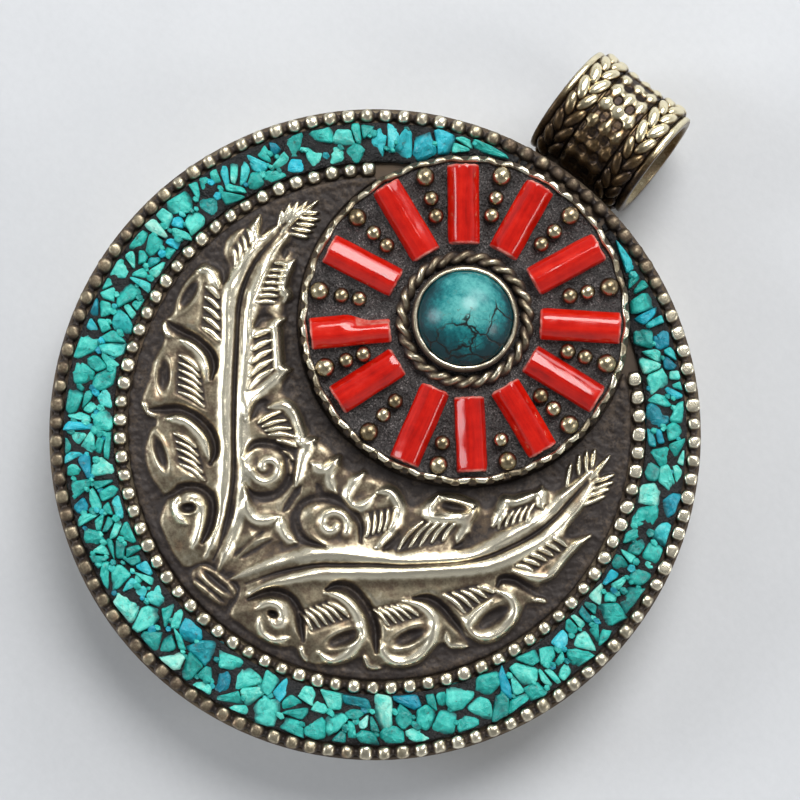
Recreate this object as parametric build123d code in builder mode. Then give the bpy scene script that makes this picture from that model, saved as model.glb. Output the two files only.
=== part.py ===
"""Round ghau amulet box worn as a pendant, in millimetres.

The box lies on its back: z = 0 is the back of its lid, +Z points out of the decorated face and
+Y points from the middle of the disc to the bail that the cord goes through.
"""

import os
from math import atan2, cos, degrees, hypot, pi, radians, sin

from build123d import *

os.makedirs("parts", exist_ok=True)

# Sheet-metal box: a front plate on a low round wall, and a push-fit back lid with a collar
plate_radius = 32.5
plate_thickness = 0.9
plate_overhang = 0.8
wall_height = 9.3
wall_thickness = 0.8
lid_thickness = 0.8
collar_height = 3.5
collar_thickness = 0.6
lid_fit = 0.05
edge_break = 0.25

# Beaded wires, and the mosaic of chips set in resin between them
bead_width = 1.35
bead_height = 1.3
bead_pitch = 1.84
core_width = 0.7
core_height = 0.75
rim_margin = 0.12
mosaic_width = 4.55
panel_shift = 0.7
resin_depth = 0.6
chip_thickness = 0.6
chip_spacing = 1.66
chip_gap = 0.26
split_share = 0.4

# Embossed leaf panel
sheet_thickness = 0.5
leaf_rise = 0.9
stem_rise = 1.25
stem_width = 1.7
border_width = 0.9
piece_gap = 0.1
resin_gap = 0.05

# Raised boss with its coral rods, shot and cabochon
boss_radius = 16.5
boss_gap = 0.3
boss_height = 3.0
boss_wall = 0.5
tooth_depth = 0.28
tooth_pitch = 1.75
bed_recess = 0.8
rod_share = 0.84
rod_proud = 1.7
rod_margin = 0.45
rod_angles = (99, 67, 35, 7, -21, -49, -75, -109, -136, -169, -201, -231)
rod_trims = (0.3, 0.5, 0.0, 0.1, 0.5, 0.6, 0.0, 0.8, 0.1, 0.4, 0.0, 0.1)
shot_counts = (3, 3, 3, 3, 2, 2, 3, 3, 3, 3, 3, 3)
shot_share = 0.8
stone_radius = 4.95
stone_girdle = 1.3
stone_dome = 2.9
bezel_thickness = 0.35
bezel_height = 1.9
rope_width = 1.6
rope_height = 1.1
strand_pitch = 1.5

# Bail: a tube with rope borders and a grained middle, soldered to the wall by a foot
bail_width = 11.6
bail_shift = -0.4
bail_bore = 4.85
bail_wall = 0.8
bail_gap = 0.75
bail_lift = 0.2
bail_twist = 5
rim_rise = 0.25
rim_width = 0.75
plait_width = 2.6
plait_rise = 0.8
grain_rise = 0.55
grain_pitch = 1.6
sleeve_rise = 0.25
foot_width = 7.0
foot_height = 3.6
foot_drop = 1.0

# Levels and radii that follow from the sizes above
plate_base = lid_thickness + wall_height
plate_top = plate_base + plate_thickness
wall_radius = plate_radius - plate_overhang
wall_inside = wall_radius - wall_thickness
outer_wire = plate_radius - rim_margin - bead_width / 2
inner_wire = outer_wire - bead_width - mosaic_width
mosaic_outer = outer_wire - bead_width / 2
mosaic_inner = inner_wire + bead_width / 2
panel_radius = inner_wire - bead_width / 2 - piece_gap
resin_top = plate_top + resin_depth
sheet_top = plate_top + sheet_thickness
boss_y = mosaic_outer - boss_gap - boss_radius
boss_inside = boss_radius - tooth_depth - boss_wall
bed_top = plate_top + boss_height - bed_recess
bezel_radius = stone_radius + bezel_thickness
rope_radius = bezel_radius + piece_gap + rope_width / 2
rod_inner = rope_radius + rope_width / 2 + rod_margin
rod_outer = boss_inside - rod_margin
bail_radius = bail_bore + bail_wall
bail_reach = bail_radius + plait_rise
bail_y = wall_radius + bail_gap + bail_reach
bail_z = bail_reach + bail_lift + bail_width / 2 * sin(radians(bail_twist))


def on_circle(radius, angle, centre_y=0.0):
    """A point of a circle whose centre lies on the pendant's middle line, at an angle in degrees."""
    return radius * cos(radians(angle)), centre_y + radius * sin(radians(angle))


# Back lid
with BuildPart() as back_plate:
    with BuildSketch():
        Circle(wall_radius)
    extrude(amount=lid_thickness)
    chamfer(back_plate.edges().group_by(Axis.Z)[0], edge_break)
back_plate.part.label = "back_plate"
export_step(back_plate.part, "parts/back_plate.step")

with BuildPart() as lid_collar:
    with BuildSketch(Plane.XY.offset(lid_thickness)):
        Circle(wall_inside - lid_fit)
        Circle(wall_inside - lid_fit - collar_thickness, mode=Mode.SUBTRACT)
    extrude(amount=collar_height)
    lead_in = lid_collar.edges().group_by(Axis.Z)[-1].sort_by(SortBy.RADIUS)[-1]
    chamfer(lead_in, collar_thickness / 2)
lid_collar.part.label = "lid_collar"
export_step(lid_collar.part, "parts/lid_collar.step")

# Case
with BuildPart() as case_wall:
    with BuildSketch(Plane.XY.offset(lid_thickness)):
        Circle(wall_radius)
        Circle(wall_inside, mode=Mode.SUBTRACT)
    extrude(amount=wall_height)
case_wall.part.label = "case_wall"
export_step(case_wall.part, "parts/case_wall.step")

with BuildPart() as front_plate:
    with BuildSketch(Plane.XY.offset(plate_base)):
        Circle(plate_radius)
    extrude(amount=plate_thickness)
    chamfer(front_plate.edges(), edge_break)
front_plate.part.label = "front_plate"
export_step(front_plate.part, "parts/front_plate.step")

# Beaded wires: the outer one at the rim, the inner one round the leaf panel as far as the boss
with BuildPart() as bead:
    with BuildSketch():
        RegularPolygon(bead_width / 2, 8)
    extrude(amount=bead_height, taper=14)

with BuildPart() as outer_bead_wire:
    with BuildSketch(Plane.XY.offset(plate_top)):
        Circle(outer_wire + core_width / 2)
        Circle(outer_wire - core_width / 2, mode=Mode.SUBTRACT)
    extrude(amount=core_height)
    with Locations((0, 0, plate_top)):
        with PolarLocations(outer_wire, round(2 * pi * outer_wire / bead_pitch)):
            add(bead.part)
outer_bead_wire.part.label = "outer_bead_wire"
export_step(outer_bead_wire.part, "parts/outer_bead_wire.step")

boss_clear = boss_radius + piece_gap
inner_count = round(2 * pi * inner_wire / bead_pitch)
inner_places = []
for place in PolarLocations(inner_wire, inner_count):
    place = Location((0, panel_shift, plate_top)) * place
    if hypot(place.position.X, place.position.Y - boss_y) > boss_clear + bead_width / 2:
        inner_places.append(place)
with BuildPart() as inner_bead_wire:
    with BuildSketch(Plane.XY.offset(plate_top)):
        with Locations((0, panel_shift)):
            Circle(inner_wire + core_width / 2)
            Circle(inner_wire - core_width / 2, mode=Mode.SUBTRACT)
        with Locations((0, boss_y)):
            Circle(boss_clear, mode=Mode.SUBTRACT)
    extrude(amount=core_height)
    with Locations(*inner_places):
        add(bead.part)
inner_bead_wire.part.label = "inner_bead_wire"
export_step(inner_bead_wire.part, "parts/inner_bead_wire.step")

# Resin bed of the mosaic
with BuildPart() as mosaic_bed:
    with BuildSketch(Plane.XY.offset(plate_top)):
        Circle(mosaic_outer - resin_gap)
        with Locations((0, panel_shift)):
            Circle(mosaic_inner + resin_gap, mode=Mode.SUBTRACT)
        with Locations((0, boss_y)):
            Circle(boss_radius + resin_gap, mode=Mode.SUBTRACT)
    extrude(amount=resin_depth)
mosaic_bed.part.label = "mosaic_bed"
export_step(mosaic_bed.part, "parts/mosaic_bed.step")


# Turquoise chips: broken-stone cells round scattered seeds, some of them cracked in two
def chance(n):
    """A repeatable number from 0 to 1 for the nth draw."""
    return (sin(n * 12.9898) * 43758.5453) % 1.0


def trimmed(outline, edge_x, edge_y, out_x, out_y):
    """The part of a convex outline behind the line through an edge point, square to (out_x, out_y)."""
    kept = []
    for here, there in zip(outline, outline[1:] + outline[:1]):
        a = (here[0] - edge_x) * out_x + (here[1] - edge_y) * out_y
        b = (there[0] - edge_x) * out_x + (there[1] - edge_y) * out_y
        if a <= 0:
            kept.append(here)
        if a * b < 0:
            t = a / (a - b)
            kept.append((here[0] + t * (there[0] - here[0]), here[1] + t * (there[1] - here[1])))
    return kept


def area(outline):
    pairs = zip(outline, outline[1:] + outline[:1])
    return sum(p[0] * q[1] - q[0] * p[1] for p, q in pairs) / 2


def middle(outline):
    return sum(p[0] for p in outline) / len(outline), sum(p[1] for p in outline) / len(outline)


def split(outline, way, gap):
    """The two halves of an outline either side of a crack across its middle."""
    x, y = middle(outline)
    out_x, out_y = cos(way), sin(way)
    side_x, side_y = gap / 2 * out_x, gap / 2 * out_y
    return [
        trimmed(outline, x - side_x, y - side_y, out_x, out_y),
        trimmed(outline, x + side_x, y + side_y, -out_x, -out_y),
    ]


def knapped(outline, number):
    """An outline with two of its corners knocked off, as broken stone has."""
    x, y = middle(outline)
    for cut in (0.1, 0.3):
        way = 2 * pi * chance(number + cut)
        out_x, out_y = cos(way), sin(way)
        reach = max((p[0] - x) * out_x + (p[1] - y) * out_y for p in outline)
        keep = reach * (0.55 + 0.35 * chance(number + cut + 0.1))
        outline = trimmed(outline, x + keep * out_x, y + keep * out_y, out_x, out_y)
    return outline


seeds = []
for draw in range(5000):
    seed_reach = mosaic_outer - 0.6 - (mosaic_width + panel_shift - 1.2) * chance(draw + 0.5)
    seed = on_circle(seed_reach, 360 * chance(draw))
    clear_inside = hypot(seed[0], seed[1] - panel_shift) > mosaic_inner + 0.6
    clear_of_boss = hypot(seed[0], seed[1] - boss_y) > boss_clear + 0.6
    apart = all(hypot(seed[0] - x, seed[1] - y) > chip_spacing for x, y in seeds)
    if clear_inside and clear_of_boss and apart:
        seeds.append(seed)

chips = []
for number, (seed_x, seed_y) in enumerate(seeds):
    spread = 1.6 * chip_spacing
    corners = ((-1, -1), (1, -1), (1, 1), (-1, 1))
    cell = [(seed_x + i * spread, seed_y + j * spread) for i, j in corners]
    for x, y in seeds:
        span = hypot(x - seed_x, y - seed_y)
        if 0 < span < 3 * spread:
            out_x, out_y = (x - seed_x) / span, (y - seed_y) / span
            back = span / 2 - chip_gap / 2
            cell = trimmed(cell, seed_x + out_x * back, seed_y + out_y * back, out_x, out_y)
    for turn in (-4, 0, 4):
        rim_at = atan2(seed_y, seed_x) + radians(turn)
        rim = mosaic_outer - chip_gap
        cell = trimmed(cell, rim * cos(rim_at), rim * sin(rim_at), cos(rim_at), sin(rim_at))
    for centre_y, inside in ((panel_shift, mosaic_inner + chip_gap), (boss_y, boss_clear + chip_gap)):
        at = atan2(seed_y - centre_y, seed_x)
        edge_x, edge_y = inside * cos(at), centre_y + inside * sin(at)
        cell = trimmed(cell, edge_x, edge_y, -cos(at), -sin(at))
    pieces = [cell]
    if len(cell) > 2 and chance(number + 0.6) < split_share:
        pieces = split(cell, 2 * pi * chance(number + 0.7), chip_gap)
    for half, piece in enumerate(pieces):
        if len(piece) > 2:
            piece = knapped(piece, number + half / 2)
        if len(piece) > 2 and area(piece) > 0.12 * chip_spacing**2:
            with BuildPart() as chip:
                with BuildSketch(Plane.XY.offset(resin_top)):
                    with BuildLine():
                        Polyline(*piece, close=True)
                    make_face()
                extrude(amount=chip_thickness * (0.75 + 0.4 * chance(number + half / 2 + 0.25)))
            chips.append(chip.part)

with BuildPart() as turquoise_chips:
    add(chips)
turquoise_chips.part.label = "turquoise_chips"
export_step(turquoise_chips.part, "parts/turquoise_chips.step")


# Embossed leaf panel: two branches with leaflets and scrolls that rise from one sheet
panel_scale = panel_radius / 25.0


def spot(x, y):
    """A point of the leaf drawing, which grows with the panel."""
    return x * panel_scale, y * panel_scale


def leaflet(base, tip, width, share, level):
    """A lens outline from base to tip, drawn in towards its middle by the given share."""
    (bx, by), (tx, ty) = spot(*base), spot(*tip)
    mx, my = (bx + tx) / 2, (by + ty) / 2
    dx, dy = share * (tx - bx) / 2, share * (ty - by) / 2
    across = share * width * panel_scale / 2 / hypot(dx, dy)
    start, end = (mx - dx, my - dy), (mx + dx, my + dy)
    with BuildSketch(Plane.XY.offset(level)) as outline:
        with BuildLine():
            ThreePointArc(start, (mx - dy * across, my + dx * across), end)
            ThreePointArc(end, (mx + dy * across, my - dx * across), start)
        make_face()
    return outline.sketch


# Each leaflet: where it leaves its stem, its tip, its width, and whether its tip has an eye
leaflets = (
    ((-20.4, 4.2), (-22.7, 10.4), 2.6, False),
    ((-18.8, -2.6), (-24.0, 2.4), 3.4, True),
    ((-14.4, -8.4), (-23.0, -6.0), 4.4, True),
    ((-9.8, -14.0), (-17.6, -12.2), 4.4, True),
    ((-18.4, 1.6), (-17.8, 8.9), 2.6, False),
    ((-13.4, -4.6), (-15.0, 2.6), 3.2, False),
    ((-10.4, -6.4), (-5.2, -4.6), 3.6, False),
    ((-20.2, 8.6), (-19.2, 14.2), 2.2, False),
    ((19.4, 5.4), (21.8, 11.4), 2.2, False),
    ((18.4, -2.4), (22.6, 4.6), 3.4, False),
    ((14.8, -8.4), (22.6, -4.6), 4.6, True),
    ((10.0, -13.2), (18.0, -13.0), 4.8, True),
    ((4.8, -18.2), (12.0, -17.0), 4.6, True),
    ((15.4, -0.6), (17.2, 6.2), 2.4, False),
    ((9.8, -6.4), (12.4, 0.8), 3.2, True),
    ((6.4, -9.0), (4.2, -3.0), 3.4, False),
    ((19.6, 7.6), (19.9, 13.0), 2.2, False),
)
# Each scroll: its middle, the side that it starts from in degrees, and the way it winds
scrolls = (
    ((-9.5, -17.0), 0, 1),
    ((-6.3, -9.4), -120, 1),
    ((1.9, -10.0), -60, -1),
    ((3.6, -20.4), 180, -1),
)
scroll_radius = 2.2 * panel_scale
scroll_step = 0.7 * panel_scale
leaf_foot = plate_top + sheet_thickness / 2
leaf_crest = sheet_top + leaf_rise
stem_half = stem_width * panel_scale / 2
stem_profile = (
    (-stem_half, 0),
    (-0.8 * stem_half, sheet_thickness / 2 + 0.85 * stem_rise),
    (-0.4 * stem_half, sheet_thickness / 2 + stem_rise),
    (0, sheet_thickness / 2 + 0.6 * stem_rise),
    (0.4 * stem_half, sheet_thickness / 2 + stem_rise),
    (0.8 * stem_half, sheet_thickness / 2 + 0.85 * stem_rise),
    (stem_half, 0),
)

with BuildPart() as leaf_panel:
    with BuildSketch(Plane.XY.offset(plate_top)):
        with Locations((0, panel_shift)):
            Circle(panel_radius)
    extrude(amount=sheet_thickness)
    with BuildSketch(Plane.XY.offset(leaf_foot)):
        with Locations((0, panel_shift)):
            Circle(panel_radius)
            Circle(panel_radius - border_width, mode=Mode.SUBTRACT)
    extrude(amount=sheet_thickness)
    for base, tip, width, has_eye in leaflets:
        loft(
            sections=[
                leaflet(base, tip, width, 1.0, leaf_foot),
                leaflet(base, tip, width, 0.55, leaf_crest),
            ],
            ruled=True,
        )
    for (x, y), side, wind in scrolls:
        out_x, out_y = on_circle(scroll_step, side + 180)
        middle = spot(x, y)
        other = (middle[0] + out_x, middle[1] + out_y)
        with BuildSketch(Plane.XY.offset(leaf_foot)):
            with BuildLine():
                CenterArc(middle, scroll_radius, side, 180 * wind)
                CenterArc(other, scroll_radius - scroll_step, side + 180, 180 * wind)
                CenterArc(middle, scroll_radius - 2 * scroll_step, side, 180 * wind)
            trace(line_width=scroll_step)
            with Locations(middle):
                Circle(0.7 * scroll_step)
        extrude(amount=sheet_thickness / 2 + leaf_rise)
    with BuildSketch(Plane.XY.offset(leaf_foot)):
        with BuildLine():
            Polyline(spot(-3.0, -19.0), spot(1.4, -14.0), spot(-2.4, -12.2), spot(-7.2, -13.4), close=True)
        make_face()
    extrude(amount=sheet_thickness / 2 + 0.6 * leaf_rise, taper=20)
    with BuildSketch(Plane.XY.offset(leaf_foot)):
        with Locations(spot(-2.8, -21.8)):
            RectangleRounded(4.4 * panel_scale, 2.6 * panel_scale, 0.6 * panel_scale)
    extrude(amount=sheet_thickness / 2 + leaf_rise, taper=12)
    for low, bend, high in (
        (spot(-3.6, -20.6), spot(-15.0, -4.8), spot(-19.6, 14.0)),
        (spot(-2.2, -20.6), spot(11.5, -7.9), spot(19.8, 12.6)),
    ):
        with BuildLine() as stem:
            run = Line(low, bend)
            TangentArc(bend, high, tangent=run % 1)
        stem_path = stem.wire().moved(Location((0, 0, leaf_foot)))
        way = run % 1
        start = Plane((low[0], low[1], leaf_foot), x_dir=(-way.Y, way.X, 0), z_dir=way)
        with BuildSketch(start):
            with BuildLine():
                Polyline(*stem_profile, close=True)
            make_face()
        sweep(path=stem_path)
    for (base_x, base_y), (tip_x, tip_y), width, has_eye in leaflets:
        if has_eye:
            eye = spot(base_x + 0.74 * (tip_x - base_x), base_y + 0.74 * (tip_y - base_y))
            eye_turn = degrees(atan2(tip_y - base_y, tip_x - base_x))
            eye_size = width * panel_scale
            with BuildSketch(Plane.XY.offset(sheet_top + leaf_rise / 3)):
                with Locations(eye):
                    Ellipse(0.24 * eye_size, 0.13 * eye_size, rotation=eye_turn)
            extrude(amount=stem_rise, mode=Mode.SUBTRACT)
    with Locations((0, panel_shift, plate_top)):
        Cylinder(
            panel_radius,
            sheet_thickness + 2 * stem_rise,
            align=(Align.CENTER, Align.CENTER, Align.MIN),
            mode=Mode.INTERSECT,
        )
    with Locations((0, boss_y, plate_top)):
        Cylinder(boss_clear, 4 * boss_height, mode=Mode.SUBTRACT)
leaf_panel.part.label = "leaf_panel"
export_step(leaf_panel.part, "parts/leaf_panel.step")

# Boss: a toothed gallery strip filled with resin
with BuildPart() as boss_gallery:
    with BuildSketch(Plane.XY.offset(plate_top)):
        with Locations((0, boss_y)):
            Circle(boss_radius - tooth_depth)
            Circle(boss_inside, mode=Mode.SUBTRACT)
    extrude(amount=boss_height)
    with BuildSketch(Plane.XY.offset(plate_top)):
        with Locations((0, boss_y)):
            with PolarLocations(boss_radius - tooth_depth, round(2 * pi * boss_radius / tooth_pitch)):
                Rectangle(1.6 * tooth_depth, 0.55 * tooth_pitch)
    extrude(amount=0.9 * boss_height)
boss_gallery.part.label = "boss_gallery"
export_step(boss_gallery.part, "parts/boss_gallery.step")

# Coral rods, laid like rays and half sunk in the resin
closest = min(a - b for a, b in zip(rod_angles, rod_angles[1:]))
rod_radius = rod_share * rod_inner * sin(radians(closest / 2))
rod_level = bed_top + rod_proud - rod_radius
rods = []
for number, (angle, trim) in enumerate(zip(rod_angles, rod_trims), start=1):
    rod_x, rod_y = on_circle(rod_inner + trim / 2, angle, boss_y)
    ray = (cos(radians(angle)), sin(radians(angle)), 0)
    with BuildPart() as coral_rod:
        with BuildSketch(Plane((rod_x, rod_y, rod_level), z_dir=ray)):
            Circle(rod_radius)
        extrude(amount=rod_outer - rod_inner - trim)
        chamfer(coral_rod.edges().filter_by(GeomType.CIRCLE), rod_radius / 8)
    coral_rod.part.label = f"coral_rod_{number:02d}"
    export_step(coral_rod.part, f"parts/coral_rod_{number:02d}.step")
    rods.append(coral_rod.part)

with BuildPart() as boss_bed:
    with BuildSketch(Plane.XY.offset(plate_top)):
        with Locations((0, boss_y)):
            Circle(boss_inside)
    extrude(amount=bed_top - plate_top)
    add(rods, mode=Mode.SUBTRACT)
boss_bed.part.label = "boss_bed"
export_step(boss_bed.part, "parts/boss_bed.step")

# Shot in rows between the rods, the largest by the rim: balls that sit a little sunk
shot_places = (0.92, 0.64, 0.41)
shot_small = (rod_inner + shot_places[2] * (rod_outer - rod_inner)) * sin(radians(closest / 2))
shot_small = shot_share * (shot_small - rod_radius)
shot_large = 1.2 * shot_small
large_spots = []
small_spots = []
next_angles = rod_angles[1:] + (rod_angles[0] - 360,)
for angle, next_angle, count in zip(rod_angles, next_angles, shot_counts):
    for place in shot_places[:count]:
        shot_reach = rod_inner + place * (rod_outer - rod_inner)
        shot_at = on_circle(shot_reach, (angle + next_angle) / 2, boss_y)
        spots = large_spots if place == shot_places[0] else small_spots
        spots.append((shot_at[0], shot_at[1], bed_top))
with BuildPart() as shot_beads:
    for shot_radius, spots in ((shot_large, large_spots), (shot_small, small_spots)):
        with Locations(*[(x, y, z + 0.6 * shot_radius) for x, y, z in spots]):
            Sphere(shot_radius)
    with Locations((0, boss_y, bed_top)):
        Cylinder(
            boss_radius,
            shot_large,
            align=(Align.CENTER, Align.CENTER, Align.MAX),
            mode=Mode.SUBTRACT,
        )
shot_beads.part.label = "shot_beads"
export_step(shot_beads.part, "parts/shot_beads.step")

# Twisted rope round the middle stone
with BuildPart() as rope_ring:
    with BuildSketch(Plane.XY.offset(bed_top)):
        with Locations((0, boss_y)):
            Circle(rope_radius + 0.35 * rope_width)
            Circle(rope_radius - 0.35 * rope_width, mode=Mode.SUBTRACT)
    extrude(amount=0.6 * rope_height)
    with BuildSketch(Plane.XY.offset(bed_top)):
        with Locations((0, boss_y)):
            with PolarLocations(rope_radius, round(2 * pi * rope_radius / strand_pitch)):
                Rectangle(rope_width, 0.55 * strand_pitch, rotation=28)
    extrude(amount=rope_height, taper=16)
    with Locations((0, boss_y, bed_top)):
        Cylinder(bezel_radius + piece_gap, 4 * rope_height, mode=Mode.SUBTRACT)
rope_ring.part.label = "rope_ring"
export_step(rope_ring.part, "parts/rope_ring.step")

# Middle stone in its bezel
with BuildPart() as stone_bezel:
    with BuildSketch(Plane.XY.offset(bed_top)):
        with Locations((0, boss_y)):
            Circle(bezel_radius)
            Circle(stone_radius, mode=Mode.SUBTRACT)
    extrude(amount=bezel_height)
stone_bezel.part.label = "stone_bezel"
export_step(stone_bezel.part, "parts/stone_bezel.step")

with BuildPart() as middle_stone:
    with BuildSketch(Plane.XZ):
        with BuildLine():
            Polyline((0, 0), (stone_radius, 0), (stone_radius, stone_girdle))
            RadiusArc(
                (stone_radius, stone_girdle),
                (0, stone_girdle + stone_dome),
                -(stone_radius**2 + stone_dome**2) / (2 * stone_dome),
            )
            Line((0, stone_girdle + stone_dome), (0, 0))
        make_face()
    revolve(axis=Axis.Z)
middle_stone.part.position = (0, boss_y, bed_top)
middle_stone.part.label = "middle_stone"
export_step(middle_stone.part, "parts/middle_stone.step")

# Bail tube with plain end rims
bail_way = (cos(radians(bail_twist)), 0, sin(radians(bail_twist)))
bail_middle = Plane((bail_shift, bail_y, bail_z), x_dir=(0, 1, 0), z_dir=bail_way)
bail_end = bail_middle.offset(-bail_width / 2)
with BuildPart() as bail_band:
    with BuildSketch(bail_end):
        Circle(bail_radius)
    extrude(amount=bail_width)
    with BuildSketch(bail_end, bail_middle.offset(bail_width / 2 - rim_width)):
        Circle(bail_radius + rim_rise)
    extrude(amount=rim_width)
    with BuildSketch(bail_end):
        Circle(bail_bore)
    extrude(amount=bail_width, mode=Mode.SUBTRACT)
bail_band.part.label = "bail_band"
export_step(bail_band.part, "parts/bail_band.step")

with BuildPart() as bail_foot:
    with Locations((bail_shift, bail_y, bail_z - foot_drop)):
        Box(foot_width, bail_y, foot_height, align=(Align.CENTER, Align.MAX, Align.CENTER))
    with BuildSketch():
        Circle(wall_radius)
    extrude(amount=2 * plate_top, mode=Mode.SUBTRACT)
    with BuildSketch(bail_end):
        Circle(bail_radius)
    extrude(amount=bail_width, mode=Mode.SUBTRACT)
bail_foot.part.label = "bail_foot"
export_step(bail_foot.part, "parts/bail_foot.step")

foot_block = Pos(bail_shift, bail_y, bail_z - foot_drop) * Box(
    foot_width + 2 * piece_gap,
    bail_y,
    foot_height + 2 * piece_gap,
    align=(Align.CENTER, Align.MAX, Align.CENTER),
)


sleeve_mid = bail_radius + sleeve_rise / 2


def round_bail(along, count):
    """Planes that stand in the sleeve on the bail tube all the way round, at a place along it."""
    planes = []
    for n in range(count):
        turn = 2 * pi * n / count
        out = bail_middle.x_dir * cos(turn) + bail_middle.y_dir * sin(turn)
        at = bail_middle.from_local_coords((sleeve_mid * cos(turn), sleeve_mid * sin(turn), along))
        planes.append(Plane(at, x_dir=bail_middle.z_dir, z_dir=out))
    return planes


# Plaited borders of the bail
plait_x = bail_width / 2 - rim_width - piece_gap - plait_width / 2
plait_count = round(2 * pi * bail_radius / strand_pitch)
for side, name in ((-1, "bail_plait_left"), (1, "bail_plait_right")):
    plait_end = bail_middle.offset(side * plait_x - plait_width / 2)
    with BuildPart() as bail_plait:
        with BuildSketch(plait_end):
            Circle(bail_radius + sleeve_rise)
            Circle(bail_radius, mode=Mode.SUBTRACT)
        extrude(amount=plait_width)
        for half in (-1, 1):
            with BuildSketch(*round_bail(side * plait_x + half * plait_width / 4, plait_count)):
                Rectangle(0.5 * plait_width, 0.5 * strand_pitch, rotation=half * 35)
            extrude(amount=plait_rise - sleeve_rise / 2, taper=14)
        add(foot_block, mode=Mode.SUBTRACT)
    bail_plait.part.label = name
    export_step(bail_plait.part, f"parts/{name}.step")

# Grained middle of the bail
grain_width = 2 * plait_x - plait_width - 2 * piece_gap
grain_columns = 4
grain_step = grain_width / grain_columns
grain_count = round(2 * pi * bail_radius / grain_pitch)
grain_start = bail_middle.offset(-grain_width / 2)
with BuildPart() as bail_grain:
    with BuildSketch(grain_start):
        Circle(bail_radius + sleeve_rise)
        Circle(bail_radius, mode=Mode.SUBTRACT)
    extrude(amount=grain_width)
    with BuildSketch(*[grain_start.offset((n + 0.12) * grain_step) for n in range(grain_columns)]):
        with PolarLocations((sleeve_mid + bail_radius + grain_rise) / 2, grain_count):
            Rectangle(grain_rise - sleeve_rise / 2, 0.7 * grain_pitch)
    extrude(amount=0.76 * grain_step)
    add(foot_block, mode=Mode.SUBTRACT)
bail_grain.part.label = "bail_grain"
export_step(bail_grain.part, "parts/bail_grain.step")

print("chips", len(chips), "inner beads", len(inner_places), "shot", len(large_spots) + len(small_spots))
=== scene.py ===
"""Looks of the round ghau amulet box: fine metalwork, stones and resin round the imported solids.

Shapes are worked out in millimetres in the frame's own axes and scaled to metres when a piece is made.
"""

import math

import bmesh
import bpy
import numpy as np
from mathutils import Matrix, Vector


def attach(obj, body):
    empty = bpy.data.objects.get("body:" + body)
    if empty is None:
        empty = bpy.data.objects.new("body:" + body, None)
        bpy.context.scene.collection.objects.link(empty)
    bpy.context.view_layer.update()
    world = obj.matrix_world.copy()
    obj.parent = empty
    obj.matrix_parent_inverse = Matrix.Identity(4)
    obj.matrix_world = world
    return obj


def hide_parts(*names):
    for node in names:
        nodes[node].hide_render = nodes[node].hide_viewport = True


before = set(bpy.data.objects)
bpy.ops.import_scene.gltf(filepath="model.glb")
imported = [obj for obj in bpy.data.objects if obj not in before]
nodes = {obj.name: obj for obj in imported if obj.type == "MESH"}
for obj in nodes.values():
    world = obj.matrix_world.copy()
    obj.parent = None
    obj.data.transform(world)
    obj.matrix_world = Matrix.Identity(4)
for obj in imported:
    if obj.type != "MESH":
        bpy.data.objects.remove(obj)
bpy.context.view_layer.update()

MM = 0.001

# Sizes shared with the solids
PLATE_TOP = 11.0
OUTER_WIRE = 31.705
INNER_WIRE = 25.805
BEAD_PITCH = 1.84
WIRE_HALF = 0.675
PANEL_SHIFT = 0.7
PANEL_RADIUS = 25.03
SHEET_TOP = 11.5
RESIN_TOP = 11.6
MOSAIC_OUTER = 31.03
MOSAIC_INNER = 26.48
BOSS_RADIUS = 16.5
BOSS_CLEAR = 16.6
BOSS_INSIDE = 15.72
BOSS_Y = 14.23
BOSS_TOP = 14.0
BED_TOP = 13.2
ROD_INNER = 7.45
ROD_OUTER = 15.27
ROD_RADIUS = 1.408
ROD_LEVEL = 13.492
ROD_ANGLES = (99, 67, 35, 7, -21, -49, -75, -109, -136, -169, -201, -231)
ROD_TRIMS = (0.3, 0.5, 0.0, 0.1, 0.5, 0.6, 0.0, 0.8, 0.1, 0.4, 0.0, 0.1)
SHOT_COUNTS = (3, 3, 3, 3, 2, 2, 3, 3, 3, 3, 3, 3)
SHOT_PLACES = (0.92, 0.64, 0.41)
SHOT_SIZES = (0.95, 0.79, 0.79)
STONE_RADIUS = 4.95
ROPE_RADIUS = 6.2
BAIL_MIDDLE = np.array((-0.4, 38.9, 7.156))
BAIL_TWIST = math.radians(5)
BAIL_RADIUS = 5.65


# Repeatable unevenness
def lattice(i, j, seed):
    """A repeatable number between 0 and 1 for each place of a grid."""
    return np.mod(np.abs(np.sin(i * 127.1 + j * 311.7 + seed * 74.7) * 43758.5453), 1.0)


def noise(x, y, cell, seed):
    """Smooth value noise between -0.5 and 0.5 with features about one cell wide."""
    x, y = np.asarray(x, float) / cell, np.asarray(y, float) / cell
    i, j = np.floor(x), np.floor(y)
    f, g = x - i, y - j
    f, g = f * f * (3 - 2 * f), g * g * (3 - 2 * g)
    low = lattice(i, j, seed) * (1 - f) + lattice(i + 1, j, seed) * f
    high = lattice(i, j + 1, seed) * (1 - f) + lattice(i + 1, j + 1, seed) * f
    return low * (1 - g) + high * g - 0.5


def wobble(values, pace, seed, row=0.0):
    """Noise along a run of values, with pace features to each unit."""
    return noise(values * pace, values * 0 + row, 1.0, seed)


def ramp(values, low, high):
    """0 at low and beyond it, 1 at high and beyond it, smooth between."""
    t = np.clip((np.asarray(values, float) - low) / (high - low), 0, 1)
    return t * t * (3 - 2 * t)


def draw(n, seed):
    """The nth repeatable number between 0 and 1."""
    return float(lattice(np.float64(n), np.float64(seed + 0.5), seed))


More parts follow.
